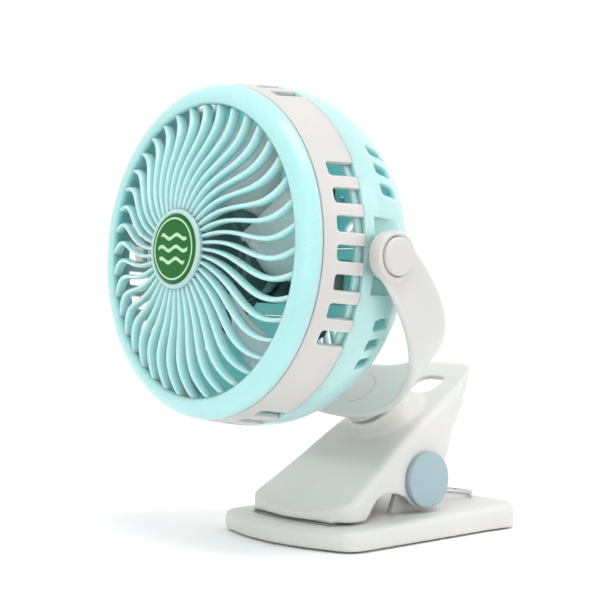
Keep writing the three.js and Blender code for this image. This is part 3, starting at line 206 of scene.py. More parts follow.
def kept(material, *nodes):
    """Solids that keep their own shape: each gets its finish, its triangles are welded and its edges eased."""
    for name in nodes:
        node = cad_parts[name]
        node.data.materials.clear()
        node.data.materials.append(material)
        weld = node.modifiers.new("weld", "WELD")
        weld.merge_threshold = 0.000004
        ease = node.modifiers.new("ease", "BEVEL")
        ease.width = 0.00015
        ease.segments = 2
        ease.limit_method = "ANGLE"
        ease.angle_limit = math.radians(40)


def relaxed(piece, voxel, rounds):
    """Remeshes a piece evenly, so that what overlaps merges, then smooths it so that edges and joins become fillets."""
    even = piece.modifiers.new("even", "REMESH")
    even.mode = "VOXEL"
    even.voxel_size = voxel
    even.use_smooth_shade = True
    relax = piece.modifiers.new("relax", "SMOOTH")
    relax.factor = 0.5
    relax.iterations = rounds


def moulded(name, node, voxel, rounds, filler=None):
    """A node's solid with its edges rounded as a mould leaves them: a merged copy, relaxed. The filler is eight
    corners of a box that is added to it where a wall is too thin for the voxels."""
    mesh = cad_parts[node].data.copy()
    mesh.name = name
    work = bmesh.new()
    work.from_mesh(mesh)
    bmesh.ops.remove_doubles(work, verts=work.verts, dist=2e-6)
    if filler is not None:
        corner = [work.verts.new(p) for p in filler]
        for face in ((0, 2, 3, 1), (4, 5, 7, 6), (0, 1, 5, 4), (2, 6, 7, 3), (0, 4, 6, 2), (1, 3, 7, 5)):
            work.faces.new([corner[k] for k in face])
    work.to_mesh(mesh)
    work.free()
    piece = placed(name, mesh)
    relaxed(piece, voxel, rounds)
    return piece


grey_white = finish_of("grey_white", (0.64, 0.635, 0.61), 0.42, glow=0.15)
rubber = finish_of("rubber", (0.27, 0.30, 0.28), 0.8, tone=0.15, grain=1400.0, depth=0.00006, spread=0.2)
seat(moulded("lower_jaw_moulding", "lower_jaw", 0.0007, 6), "base", grey_white, ["lower_jaw"])
kept(rubber, "base_sole", "lower_grip_pad")

# ---------------------------------------------------------------- clamp, upper jaw
# One thin-walled moulding in the same grey-white ABS: front paddle, dished deck that rises into the swivel collar, and
# hollow handle with a hole. A rubber pad is glued under the paddle, in a pocket whose floor is the thinnest wall.
PADDLE_SLOPE, PAD_MIDDLE, PAD_MARGIN, PAD_SINK, FLOOR_WALL = 0.024, -0.0335, 0.0005, 0.00045, 0.0012
pad_low, pad_high = np.array(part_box("upper_grip_pad"))
# The floor is a sloping slab a little larger than the pad, its underside PAD_SINK below the pad's highest edge.
pad_floor = [
    [x, y, pad_high[2] - PAD_SINK + PADDLE_SLOPE * (y - PAD_MIDDLE)]
    for y in (pad_low[1] - PAD_MARGIN, pad_high[1] + PAD_MARGIN)
    for x in (pad_low[0] - PAD_MARGIN, pad_high[0] + PAD_MARGIN)
]
pad_floor += [[x, y, z + FLOOR_WALL] for x, y, z in pad_floor]
upper_jaw = moulded("upper_jaw_moulding", "upper_jaw", 0.00065, 9, pad_floor)
seat(upper_jaw, "clip", grey_white, ["upper_jaw"])
kept(rubber, "upper_grip_pad")

# ---------------------------------------------------------------- torsion spring and hinge pin
# One length of bright steel wire: two coils round the steel hinge pin, a loop that bears on the foot behind it, and two
# free legs that bear under the handle. The legs are pieces of their own, because they move with the upper jaw.
HINGE = np.array([0.0, 12.0, 23.5])
WIRE_R, COIL_R, COIL_PITCH, COIL_X, TURNS = 0.9, 4.4, 2.4, 12.2, 3
LOOP_R, LOOP_Y, LEG_Y, DECK_UNDERSIDE, FOOT_TOP, FOOT_SLOPE = 11.0, 61.5, 33.0, 53.8, 10.0, 0.024


def skin(name, grids, sharp=35.0):
    """One closed mesh from grids of points (rows, columns, xyz) in metres: neighbours join as quads, each row closes
    into a ring, and points that meet become one."""
    corners, faces, start = [], [], 0
    for grid in grids:
        rows, columns = grid.shape[:2]
        at = start + np.arange(rows * columns).reshape(rows, columns)
        right = np.roll(at, -1, 1)
        faces.append(np.stack([at[:-1], right[:-1], right[1:], at[1:]], -1).reshape(-1, 4))
        corners.append(grid.reshape(-1, 3))
        start += rows * columns
    mesh = bpy.data.meshes.new(name)
    mesh.from_pydata(np.concatenate(corners).tolist(), [], np.concatenate(faces).tolist())
    work = bmesh.new()
    work.from_mesh(mesh)
    bmesh.ops.remove_doubles(work, verts=work.verts, dist=1e-6)
    bmesh.ops.recalc_face_normals(work, faces=work.faces)
    work.to_mesh(mesh)
    work.free()
    mesh.shade_smooth()
    mesh.set_sharp_from_angle(angle=math.radians(sharp))
    return placed(name, mesh)


def tube(line, radius, sides=14):
    """A round wire along a line of points: a ring of the radius about each point, square to the line, with both ends
    closed by a point."""
    p = np.array(line, float)
    run = np.gradient(p, axis=0)
    run /= np.linalg.norm(run, axis=1, keepdims=True)
    across = np.cross(run, np.where(np.abs(run[:, :1]) > 0.9, [[0, 0, 1.0]], [[1.0, 0, 0]]))
    across /= np.linalg.norm(across, axis=1, keepdims=True)
    other = np.cross(run, across)
    a = np.linspace(0, 2 * np.pi, sides, endpoint=False)[:, None]
    rings = p[:, None] + radius * (np.cos(a) * across[:, None] + np.sin(a) * other[:, None])
    return np.concatenate([np.repeat(p[:1, None], sides, 1), rings, np.repeat(p[-1:, None], sides, 1)])


def spring_lines():
    """Centre lines of a right leg and of the whole coil and loop. The coil is a helix about the pin, x falling by the
    pitch each turn. A leg is the straight tangent from the coil's start to a point under the handle. The loop leaves on
    the tangent at the coil's end, moves out sideways by 3 t^2 - 2 t^3 of its flare, and closes in a half circle."""
    deck_z = DECK_UNDERSIDE - WIRE_R
    loop_z = FOOT_TOP + FOOT_SLOPE * (LOOP_Y - HINGE[1]) + WIRE_R + 0.3
    up_far = math.hypot(LEG_Y - HINGE[1], deck_z - HINGE[2])
    up = math.atan2(deck_z - HINGE[2], LEG_Y - HINGE[1]) - math.asin(COIL_R / up_far)
    down_far = math.hypot(LOOP_Y - HINGE[1], loop_z - HINGE[2])
    down = math.atan2(loop_z - HINGE[2], LOOP_Y - HINGE[1]) + math.asin(COIL_R / down_far)

    start, stop = up + math.pi / 2, down - math.pi / 2 + 2 * TURNS * math.pi
    a = np.linspace(start, stop, 110)
    coil = np.stack([
        COIL_X - COIL_PITCH * (a - start) / (2 * np.pi), HINGE[1] + COIL_R * np.cos(a), HINGE[2] + COIL_R * np.sin(a),
    ], -1)
    t = np.linspace(1, 0.06, 20)[:, None]
    leg_run = np.array([0, math.cos(up), math.sin(up)]) * math.sqrt(up_far ** 2 - COIL_R ** 2)
    leg = np.concatenate([coil[0] + leg_run * t, coil[:14]])

    slope = math.tan(down)
    t = np.linspace(0.04, 1, 24)[:, None]
    flare = np.array([[LOOP_R - coil[-1, 0], 0, 0]]) * t * t * (3 - 2 * t)
    straight = coil[-1] + np.array([0, 1, slope]) * (LOOP_Y - LOOP_R - coil[-1, 1]) * t + flare
    b = np.linspace(0, np.pi / 2, 14)[1:]
    arc = np.stack([
        LOOP_R * np.cos(b), straight[-1, 1] + LOOP_R * np.sin(b), straight[-1, 2] + slope * LOOP_R * np.sin(b),
    ], -1)
    half = np.concatenate([coil, straight, arc])
    return leg, np.concatenate([half, half[-2::-1] * [-1, 1, 1]])


steel = finish_of("steel", (0.62, 0.63, 0.64), 0.28, tone=0.1, grain=900.0, depth=0.00001, spread=0.25, metal=1.0)
leg_line, coil_line = spring_lines()
coils = skin("spring_coils_and_loop", [tube(coil_line, WIRE_R) / 1000], sharp=60)
seat(coils, "base", steel, ["torsion_spring"])
for side, name in ((1, "right"), (-1, "left")):
    leg = skin("spring_leg_" + name, [tube(leg_line * [side, 1, 1], WIRE_R - 0.03) / 1000], sharp=60)
    seat(leg, "clip", steel)
kept(steel, "hinge_pin")

# ---------------------------------------------------------------- hinge caps
# Pale blue ABS discs with a soft rounded rim, pressed over the ends of the hinge pin against the upper jaw's cheeks.
# Each is turned from one profile.
CAP_FACE = 24.1


def softened(profile, radius=0.4, steps=4):
    """A profile with its corners cut by short arcs: each corner b becomes the curve (1 - t)^2 start + 2 t (1 - t) b +
    t^2 stop between points that lie radius away from it, or nearer where a side is short."""
    p = np.array(profile, float)
    made = [p[0]]
    for a, b, c in zip(p[:-2], p[1:-1], p[2:]):
        la, lc = np.linalg.norm(a - b), np.linalg.norm(c - b)
        start = b + (a - b) * min(radius, 0.45 * la) / la
        stop = b + (c - b) * min(radius, 0.45 * lc) / lc
        t = np.linspace(0, 1, steps)[:, None]
        made.extend((1 - t) ** 2 * start + 2 * t * (1 - t) * b + t * t * stop)
    made.append(p[-1])
    return np.array(made)


def turned(profile, columns=96):
    """A profile of (radius, height) pairs carried round the Z axis: x = r cos a, y = r sin a, z = height."""
    p = np.array(profile, float)
    a = np.linspace(0, 2 * np.pi, columns, endpoint=False)
    r, z = p[:, :1], p[:, 1:]
    return np.stack([r * np.cos(a), r * np.sin(a), z + 0 * a], -1)


def along_x(points, side=1):
    """Lays a shape made along Z down along X, to the right for side 1 and to the left for side -1."""
    return np.stack([side * points[..., 2], points[..., 1], -points[..., 0]], -1)


pale_blue = finish_of("pale_blue", (0.31, 0.425, 0.46), 0.38, tone=0.05)
disc_profile = softened([
    (0, 23.4), (4.9, 23.4), (4.9, CAP_FACE), (11.6, CAP_FACE), (11.6, 26.9), (10.4, 27.1), (0, 27.25),
], 0.9, 5)
for side, name in ((1, "right"), (-1, "left")):
    disc = skin("hinge_disc_" + name, [(along_x(turned(disc_profile), side) + HINGE) / 1000])
    seat(disc, "clip", pale_blue, ["hinge_cap_" + name])

# ---------------------------------------------------------------- yoke
# A broad U-shaped strap of white ABS, widest at the bottom, with an eye at each end and a round boss that turns on the
# collar: one moulding. It is shaped upright about the tilt pivot and then leans back by 45 degrees.
PIVOT_Y, PIVOT_Z, YOKE_LEAN = -57.0355, 114.0355, 45
LEG_X, LEG_TOP_R, BEND_Z, BEND_DROP, BEND_SWELL = 72, 9.5, -3.5, 74, 5
STRAP_WALL, STRAP_CORNER, CORNER_POINTS = 3.0, 1.3, 8


def tilted(points, degrees):
    """Points about the tilt pivot, in millimetres, into the frame in metres: turned about X through the pivot."""
    a = math.radians(degrees)
    x, y, z = points[..., 0], points[..., 1], points[..., 2]
    return np.stack([
        x, y * math.cos(a) - z * math.sin(a) + PIVOT_Y, y * math.sin(a) + z * math.cos(a) + PIVOT_Z,
    ], -1) / 1000


def strap():
    """A rounded oblong section carried down one leg, round a half ellipse and up the other, square to its line. Its
    half width is 9.5 + 5 sin of the bend's angle, and at the ends it closes in a half circle about the pivot. Its
    thickness is 3 mm, and its corners are quarter circles."""
    end, bend = np.linspace(np.pi / 2, 0, 16), np.linspace(0, np.pi, 140)
    x = np.concatenate([LEG_X + 0 * end, LEG_X * np.cos(bend), -LEG_X + 0 * end])
    z = np.concatenate([LEG_TOP_R * np.sin(end), BEND_Z - BEND_DROP * np.sin(bend), LEG_TOP_R * np.sin(end[::-1])])
    half = np.concatenate([
        LEG_TOP_R * np.cos(end), LEG_TOP_R + BEND_SWELL * np.sin(bend), LEG_TOP_R * np.cos(end[::-1]),
    ])[:, None]
    slope = np.stack([np.gradient(x), np.gradient(z)], -1)
    slope /= np.linalg.norm(slope, axis=1, keepdims=True)
    out = np.stack([slope[:, 1], -slope[:, 0]], -1)
    # Out points away from a place inside the U, 20 mm above the start of the bend.
    out *= np.sign(out[:, :1] * x[:, None] + out[:, 1:] * (z[:, None] - BEND_Z - 20))
    quarter = np.linspace(0, np.pi / 2, CORNER_POINTS)
    corner = np.concatenate([quarter + k * np.pi / 2 for k in range(4)])
    side = np.repeat([1, -1, -1, 1], CORNER_POINTS)
    face = np.repeat([1, 1, -1, -1], CORNER_POINTS)
    y = side * np.maximum(half - STRAP_CORNER, 0) + np.minimum(half, STRAP_CORNER) * np.cos(corner)
    t = face * (STRAP_WALL / 2 - STRAP_CORNER) + STRAP_CORNER * np.sin(corner)
    grid = np.stack([x[:, None] + t * out[:, :1], y, z[:, None] + t * out[:, 1:]], -1)
    grid[0] = grid[0].mean(0)
    grid[-1] = grid[-1].mean(0)
    return grid


def cut_away(piece, *grids):
    """Takes closed cutters, one from each grid, out of a closed piece."""
    for grid in grids:
        cutter = skin("cutter", [grid])
        taken = piece.modifiers.new("bore", "BOOLEAN")
        taken.operation = "DIFFERENCE"
        taken.solver = "EXACT"
        taken.object = cutter
        bpy.context.view_layer.update()
        made = bpy.data.meshes.new_from_object(piece.evaluated_get(bpy.context.evaluated_depsgraph_get()))
        piece.modifiers.clear()
        made.name = piece.data.name
        piece.data = made
        bpy.data.objects.remove(cutter)


def joined(piece, others):
    """Puts the surfaces of other closed pieces into a piece, for relaxed to merge."""
    work = bmesh.new()
    work.from_mesh(piece.data)
    for other in others:
        work.from_mesh(other.data)
        bpy.data.objects.remove(other)
    work.to_mesh(piece.data)
    work.free()


# The eye's ring has a recess for its button and a bore for the pivot, and the boss has the same for the swivel's bolt.
eye_ring = [
    (4.3, 69.3), (9.3, 69.3), (9.3, 74.5), (9.0, 75.0), (8.3, 75.3), (7.3, 75.3), (7.3, 71.5), (4.3, 71.5), (4.3, 69.3),
]
eye_bore = [(0, 60), (4.3, 60), (4.3, 71.5), (7.3, 71.5), (7.3, 90), (0, 90)]
boss = [
    (3.3, -80.5), (7.3, -80.5), (7.3, -76.8), (11.5, -76.8), (11.5, -84.2), (11.2, -84.8), (10.6, -85), (3.3, -85),
    (3.3, -80.5),
]
boss_bore = [(0, -95), (3.3, -95), (3.3, -80.5), (7.0, -80.5), (7.0, -60), (0, -60)]
white = finish_of("white", (0.56, 0.55, 0.53), 0.36, glow=0.35)
yoke = skin("yoke_strap", [tilted(strap(), YOKE_LEAN)])
bores = [turned(boss_bore), along_x(turned(eye_bore), 1), along_x(turned(eye_bore), -1)]
cut_away(yoke, *(tilted(bore, YOKE_LEAN) for bore in bores))
eyes = [skin("yoke_eye", [tilted(along_x(turned(eye_ring), s), YOKE_LEAN)]) for s in (1, -1)]
joined(yoke, eyes + [skin("yoke_boss", [tilted(turned(boss), YOKE_LEAN)])])
relaxed(yoke, 0.0005, 5)
seat(yoke, "arm", white, ["yoke"])

# ---------------------------------------------------------------- swivel and tilt fittings
# A steel bolt and nut with a rubber washer hold the yoke to the collar, and steel screws with rubber washers hold the
# head in its eyes. White ABS buttons pressed into the eyes, and a flush lid in the yoke's bottom, hide their heads.
cap_white = finish_of("cap_white", (0.56, 0.55, 0.53), 0.3)
button_profile = softened([(0, 73.7), (7.1, 73.7), (7.1, 76.2), (6.4, 76.8), (0, 76.9)], 0.7, 6)
for side, name in ((1, "right"), (-1, "left")):
    button = skin("tilt_button_" + name, [tilted(along_x(turned(button_profile), side), YOKE_LEAN)], sharp=50)
    seat(button, "arm", cap_white, ["tilt_cap_" + name])
lid_profile = softened([(0, -77.0), (7.25, -77.0), (7.25, -75.95), (0, -75.85)], 0.1)
lid = skin("swivel_lid", [tilted(turned(lid_profile), YOKE_LEAN)], sharp=50)
seat(lid, "arm", cap_white, ["swivel_cap"])
kept(steel, "swivel_bolt", "swivel_nut", "tilt_screw_right", "tilt_screw_left")
kept(rubber, "swivel_washer", "tilt_washer_right", "tilt_washer_left")

# ---------------------------------------------------------------- head, rear cover
# The mint rear half of the head: a glossy, slightly translucent ABS shell, 2 mm thick, with slots round its shoulder,
# flat pockets at the pivots and a flat back with vents. A lip takes the band, and hollow trunnions the tilt screws.
HEAD_TURN = 87.7  # degrees: the head is shaped with its axis up, and turned by this about the tilt pivot
SLOT_CORNER, SLOT_FADE, COLUMN_STEP, ROW_STEP = 1.4, 1.5, 0.7, 0.8
WIDEST, SHELL_DEPTH, BACK_R, WIDE_R, POWER = 1.7, 32.0, 44.5, 66.8, 1.7
POCKET_HALF, POCKET_LOW, POCKET_HIGH, POCKET_FACE = 14, -11.4, 3.6, 62.8
mint = finish_of("mint", (0.40, 0.69, 0.68), 0.28, coat=0.5, glow=0.85)


def stepped(marks, step):
    """Marks with even steps between neighbours, none longer than step. The last mark is left out."""
    return np.concatenate([
        np.linspace(a, b, math.ceil((b - a) / step) + 1)[:-1] for a, b in zip(marks[:-1], marks[1:])
    ])


def apart(turn, degrees):
    """The signed angle in radians from a direction in degrees, between minus pi and pi."""
    return (turn - math.radians(degrees) + np.pi) % (2 * np.pi) - np.pi


def slotted(radius_at, heights, slots, lines=()):
    """A wall round the head's axis with rounded slots: a grid of points, its columns angles, its rows heights and its
    radius radius_at(height), and a mask of the quads that stay. A slot is (angle in degrees, half width, low end, high
    end) in millimetres. Near a slot's corner, a point at (a, b) from the corner arc's centre moves along its own
    direction until it is max(a, b) away, and this fades out over SLOT_FADE. Lines are more columns, in degrees."""
    lines, rows, middles = list(lines), list(heights), []
    for angle, half, low, high in slots:
        middles.append(float(radius_at((max(low, heights[0]) + min(high, heights[-1])) / 2)))
        for s in (half - SLOT_CORNER, half, half + SLOT_FADE):
            lines += [angle - math.degrees(s / middles[-1]), angle + math.degrees(s / middles[-1])]
        rows += [low - SLOT_FADE, low, low + SLOT_CORNER, high - SLOT_CORNER, high, high + SLOT_FADE]
    columns = np.unique(np.round(np.array(lines) % 360, 4))
    columns = stepped(np.append(columns, columns[0] + 360), COLUMN_STEP)
    rows = np.unique(np.round([h for h in rows if heights[0] <= h <= heights[-1]], 4))
    rows = np.append(stepped(rows, ROW_STEP), rows[-1])

    turn, high_at = np.meshgrid(np.radians(columns), rows)
    quad_turn = (turn + (np.roll(turn, -1, 1) - turn + np.pi) % (2 * np.pi) / 2 - np.pi / 2)[:-1]
    quad_high = (high_at[:-1] + high_at[1:]) / 2
    stay = np.ones(quad_turn.shape, bool)
    for (angle, half, low, high), middle in zip(slots, middles):
        stay &= ~((np.abs(apart(quad_turn, angle)) * middle < half) & (quad_high > low) & (quad_high < high))
        off, centre, tall = apart(turn, angle), (low + high) / 2, (high - low) / 2 - SLOT_CORNER
        a = np.abs(off) * middle - (half - SLOT_CORNER)
        b = np.abs(high_at - centre) - tall
        reach = SLOT_CORNER + SLOT_FADE
        near = (a > 0) & (b > 0) & (a < reach) & (b < reach)
        square = np.maximum(a, b)
        fade = np.clip((square - SLOT_CORNER) / SLOT_FADE, 0, 1)
        pull = (1 - fade) * square / (np.hypot(a, b) + 1e-9) + fade
        drawn_turn = math.radians(angle) + np.sign(off) * (half - SLOT_CORNER + a * pull) / middle
        drawn_high = centre + np.sign(high_at - centre) * (tall + b * pull)
        turn, high_at = np.where(near, drawn_turn, turn), np.where(near, drawn_high, high_at)
    r = radius_at(high_at)
    return np.stack([r * np.cos(turn), r * np.sin(turn), high_at], -1), stay


def shoulder_radius(u):
    """The shell's radius at a height along the axis: BACK_R + (WIDE_R - BACK_R)(1 - q^p)^(1/p) behind the widest place,
    with q the share of the depth, and a slight taper before it."""
    q = np.clip((WIDEST - u) / SHELL_DEPTH, 0, 1)
    behind = BACK_R + (WIDE_R - BACK_R) * (1 - q ** POWER) ** (1 / POWER)
    return np.where(u > WIDEST, WIDE_R - 0.2 * (u - WIDEST) / 6.0, behind)


def pocketed(grid):
    """Flattens a wall to the pocket's face, x = POCKET_FACE to either side, inside the pocket at each pivot."""
    x, y, z = (grid[..., k] for k in range(3))
    inside = (np.abs(y) < POCKET_HALF) & (z > POCKET_LOW) & (z < POCKET_HIGH) & (np.abs(x) > 50)
    return np.stack([np.where(inside, np.sign(x) * np.minimum(np.abs(x), POCKET_FACE), x), y, z], -1)


def oblong(x0, x1, y0, y1, r, n=6):
    """The outline of a rounded rectangle, its corners quarter circles of radius r."""
    q = np.linspace(0, np.pi / 2, n)
    middles = ((x1 - r, y1 - r), (x0 + r, y1 - r), (x0 + r, y0 + r), (x1 - r, y0 + r))
    return np.concatenate([
        np.stack([x + r * np.cos(q + k * np.pi / 2), y + r * np.sin(q + k * np.pi / 2)], -1)
        for k, (x, y) in enumerate(middles)
    ])


def spun(outline, degrees):
    """An outline turned about the head's axis."""
    a = math.radians(degrees)
    return outline @ np.array([[math.cos(a), math.sin(a)], [-math.sin(a), math.cos(a)]])


def round_hole(x, y, r, n=32):
    """A circle's outline."""
    a = np.linspace(0, 2 * np.pi, n, endpoint=False)
    return np.stack([x + r * np.cos(a), y + r * np.sin(a)], -1)


def flat_plate(outlines, height):
    """The flat face between the first outline and the holes that the others draw: its points, and triangles that face
    away from the head. A triangle's turn is twice its signed area, and those with none are left out."""
    plan = [[Vector((float(x), float(y), 0)) for x, y in outline] for outline in outlines]
    triangles = np.array(tessellate_polygon(plan))
    flat = np.concatenate(outlines)
    a, b, c = (flat[triangles[:, k]] for k in range(3))
    turns = (b - a)[:, 0] * (c - a)[:, 1] - (b - a)[:, 1] * (c - a)[:, 0]
    triangles = np.where(turns[:, None] > 0, triangles[:, ::-1], triangles)[np.abs(turns) > 1e-9]
    return np.concatenate([flat, np.full((len(flat), 1), height)], 1), triangles


def walled(name, grid, stay, wall=2.0, bevel=0.25, plate=None):
    """A wall of the quads of a grid that stay, and of a plate's triangles if one is given: merged, given its thickness
    inwards, and its edges rounded."""
    rows, columns = grid.shape[:2]
    at = np.arange(rows * columns).reshape(rows, columns)
    right = np.roll(at, -1, 1)
    faces = np.stack([at[:-1], right[:-1], right[1:], at[1:]], -1)[stay].tolist()
    points = grid.reshape(-1, 3)
    if plate is not None:
        faces += (plate[1] + len(points)).tolist()
        points = np.concatenate([points, plate[0]])
    mesh = bpy.data.meshes.new(name)
    mesh.from_pydata(tilted(points, HEAD_TURN).tolist(), [], faces)
    work = bmesh.new()
    work.from_mesh(mesh)
    bmesh.ops.remove_doubles(work, verts=work.verts, dist=2e-6)
    bmesh.ops.delete(work, geom=[v for v in work.verts if not v.link_faces], context="VERTS")
    work.to_mesh(mesh)
    work.free()
    mesh.shade_smooth()
    piece = placed(name, mesh)
    thick = piece.modifiers.new("wall", "SOLIDIFY")
    thick.thickness = wall / 1000
    thick.offset = -1
    soft = piece.modifiers.new("edges", "BEVEL")
    soft.width = bevel / 1000
    soft.segments = 2
    soft.limit_method = "ANGLE"
    soft.angle_limit = math.radians(50)
    piece.modifiers.new("shading", "WEIGHTED_NORMAL").weight = 60
    return piece


# Three slots on either side of each pivot, and six each at the top and the bottom.
rear_slots = [
    (180 * s + k * (22.4 + 7.4 * i), 2.5, -14.0, -3.0) for s in (0, 1) for k in (1, -1) for i in range(3)
]
rear_slots += [(90 + 180 * s + 7.4 * (i - 2.5), 2.5, -14.0, -3.0) for s in (0, 1) for i in range(6)]
# More columns stand close to the pockets' ends, so that their edges are crisp: each is a distance along the wall at its
# own radius, to either side of a pivot.
pocket_lines = [
    180 * s + k * math.degrees(along / 65.2275) for s in (0, 1) for k in (1, -1) for along in (12.701, 14.101, 15.601)
]
curve = np.linspace(np.arcsin(((WIDEST + 16.0) / SHELL_DEPTH) ** (POWER / 2)), np.pi / 2, 26)
rear_rows = np.concatenate([
    (WIDEST - SHELL_DEPTH * np.sin(curve) ** (2 / POWER))[::-1],
    [POCKET_LOW - 0.1, POCKET_LOW, 0, WIDEST, POCKET_HIGH, POCKET_HIGH + 0.1, 7.75],
])
shell, stay = slotted(shoulder_radius, rear_rows, rear_slots, pocket_lines)
shell = pocketed(shell)
# Two groups of three vents beside the button, nine below the door, and holes for what is fitted in the back.
vents = [spun(oblong(20, 41, -1.5, 1.5, 1.2), t) for k in range(3) for t in (20 + 8 * k, 160 - 8 * k)]
vents += [spun(oblong(28.8, 41, -1.5, 1.5, 1.2), -90 + 8 * (i - 4)) for i in range(9)]
door, button_hole, lamp_hole = oblong(-38.9, 38.9, -23.1, 5.1, 0.6), round_hole(0, 24, 4.3), round_hole(-10, 24, 1.8)
port_hole = oblong(5.8, 14.2, 22.2, 25.8, 0.4)
back = flat_plate([shell[0, :, :2]] + vents + [door, button_hole, lamp_hole, port_hole], WIDEST - SHELL_DEPTH)
seat(walled("rear_shell", shell, stay, plate=back), "head", mint, ["rear_cover"])
lip = [(62.2, 5.5), (64.2, 5.5), (64.2, 10.0), (64.0, 10.2), (62.4, 10.2), (62.2, 10.0), (62.2, 5.5)]
seat(skin("rear_lip", [tilted(turned(lip, 160), HEAD_TURN)]), "head", mint)
trunnion = [(1.8, 60.8), (7.5, 60.8), (7.5, 67.7), (4, 67.7), (4, 71.2), (1.8, 71.2), (1.8, 60.8)]
for side, name in ((1, "right"), (-1, "left")):
    stub = skin("trunnion_" + name, [tilted(along_x(turned(trunnion, 48), side), HEAD_TURN)])
    seat(stub, "head", mint)

# ---------------------------------------------------------------- battery, board and back fittings
# One cell in a pale plain wrap lies between two sprung steel contacts, behind a mint door with its screw. Above it the
# green circuit board carries the steel charge port, the white push button and the lamp with its clear lens.
cell_wrap = finish_of("cell_wrap", (0.42, 0.55, 0.56), 0.3, coat=0.5)
board_green = finish_of("board_green", (0.025, 0.14, 0.06), 0.45, tone=0.2, grain=700.0)
lens = finish_of("lens", (0.70, 0.86, 0.82), 0.15, coat=0.6)
kept(cell_wrap, "battery")
kept(steel, "contact_right", "contact_left", "battery_door_screw", "charge_port")
kept(mint, "battery_door")
kept(board_green, "circuit_board")
kept(cap_white, "speed_button")
kept(lens, "indicator_lamp")

# ---------------------------------------------------------------- motor
# A small brushed steel can with a ground shaft, pressed into a four-armed ABS cup that four steel screws hold to
# the rear cover's posts. The cup is dark plastic, and its near-black teal also paints in the shade deep inside the
# head.
# Painted shade: the mount's near-black teal is the shade deep inside the head, over the cup's own dark plastic.
dark = finish_of("dark", (0.05, 0.11, 0.11), 0.5)
motor_can = finish_of("motor_can", (0.36, 0.40, 0.41), 0.32, tone=0.12, grain=1200.0, spread=0.2, metal=1.0)
kept(dark, "motor_mount")
kept(motor_can, "motor")
kept(steel, "motor_shaft", *("mount_screw_%d" % k for k in range(1, 5)))

# ---------------------------------------------------------------- impeller
# Five broad twisted blades of tinted plastic that lets light through, on a grooved cup that is pressed onto the motor's
# shaft. The blades' mint is made paler than the shell's: painted light, for the light that reaches the shaded inside of
# the head. The cup is dark plastic, and its near-black teal also paints in the shade deep inside the head.
BLADE_FOOT, BLADE_LENGTH, FOOT_CHORD, CHORD_SWELL, BLADE_Z, CAMBER = 14, 37, 17, 16.15, 17.8, 0.09


def blades():
    """Five blades over t from 0 to 1, r = 14 + 37 t: the chord is 17 + 16.15 sin(1.9 t) and closes in an arc at the
    tip, the pitch goes from 42 to 24 degrees, the camber is a parabola of 9% of the chord, the section is a lens 1.6 mm
    thick, and the whole is swept by 0.28 t^2."""
    t = np.linspace(0, 1, 36)[:, None]
    a = np.linspace(0, 2 * np.pi, 40, endpoint=False)[None]
    r = BLADE_FOOT + BLADE_LENGTH * t
    swell = FOOT_CHORD + CHORD_SWELL * np.sin(1.9 * t)
    chord = swell * np.sqrt(np.clip(1 - (np.clip(t - 0.86, 0, 1) / 0.145) ** 2, 0.0, 1))
    pitch = np.radians(42 - 18 * t)
    s = 0.5 * np.cos(a)
    thick = 0.8 * np.sign(np.sin(a)) * np.abs(np.sin(a)) ** 0.8
    lift = CAMBER * swell * (1 - 4 * s * s) + thick * (t < 1)
    tangent = s * chord * np.cos(pitch) - lift * np.sin(pitch)
    height = s * chord * np.sin(pitch) + lift * np.cos(pitch)
    grids = []
    for k in range(5):
        turn = np.radians(72 * k) + tangent / r + 0.28 * t * t
        grid = np.stack([r * np.cos(turn), r * np.sin(turn), BLADE_Z + height], -1)
        grid[0] = grid[0].mean(0)
        grid[-1] = grid[-1].mean(0)
        grids.append(grid)
    return grids


# Painted light: the blades' mint is paler than the shell's, for light that reaches the shaded inside of the head.
blade_mint = finish_of("blade_mint", (0.56, 0.80, 0.79), 0.22, coat=0.4, glow=0.9)
# Painted shade: the cup's near-black teal is the shade deep inside the head, over the cup's own dark plastic.
hub_dark_and_painted_shade = finish_of("hub_dark_and_painted_shade", (0.035, 0.085, 0.085), 0.3)
blade_set = skin("impeller_blades", [tilted(grid, HEAD_TURN) for grid in blades()], sharp=60)
seat(blade_set, "impeller", blade_mint, ["rotor"])
cup_profile = softened([
    (1.3, 16.3), (3.4, 16.3), (3.4, 22.6), (17.2, 22.6), (17.2, 10.3), (19, 10.3), (19, 13.0), (18.5, 13.3),
    (18.5, 14.4), (19, 14.7), (19, 21.6), (17.4, 23.4), (15.6, 23.4), (15.2, 22.9), (14.4, 22.9), (14, 23.6),
    (8, 25.3), (0, 26.1), (0, 22.8), (1.3, 22.8), (1.3, 16.3),
], 0.5)
seat(skin("impeller_cup", [tilted(turned(cup_profile), HEAD_TURN)]), "impeller", hub_dark_and_painted_shade)

# ---------------------------------------------------------------- head, band
# A white ABS band, 2 mm thick, that snaps over the rear cover's lip. Notches for the air run through its rear edge in
# four groups, seven at each side and six at the top and at the bottom.
BAND_EDGES, BAND_RADII = [7.95, 17.0, 26.05], [66.5, 65.75, 64.4]
band_slots = [(180 * s + 9.28 * (i - 3), 3.0, 3.8, 20.6) for s in (0, 1) for i in range(7)]
band_slots += [(90 + 180 * s + 9.28 * (i - 2.5), 3.0, 3.8, 20.6) for s in (0, 1) for i in range(6)]


def band_radius(u):
    """The band's radius: a parabola in the height, through its rear edge, its middle and its front edge."""
    return np.polyval(np.polyfit(BAND_EDGES, BAND_RADII, 2), u)


band, stay = slotted(band_radius, np.array([7.9, 12.0, 17.0, 22.0, 26.15]), band_slots)
seat(walled("head_band", band, stay), "head", white, ["body_band"])

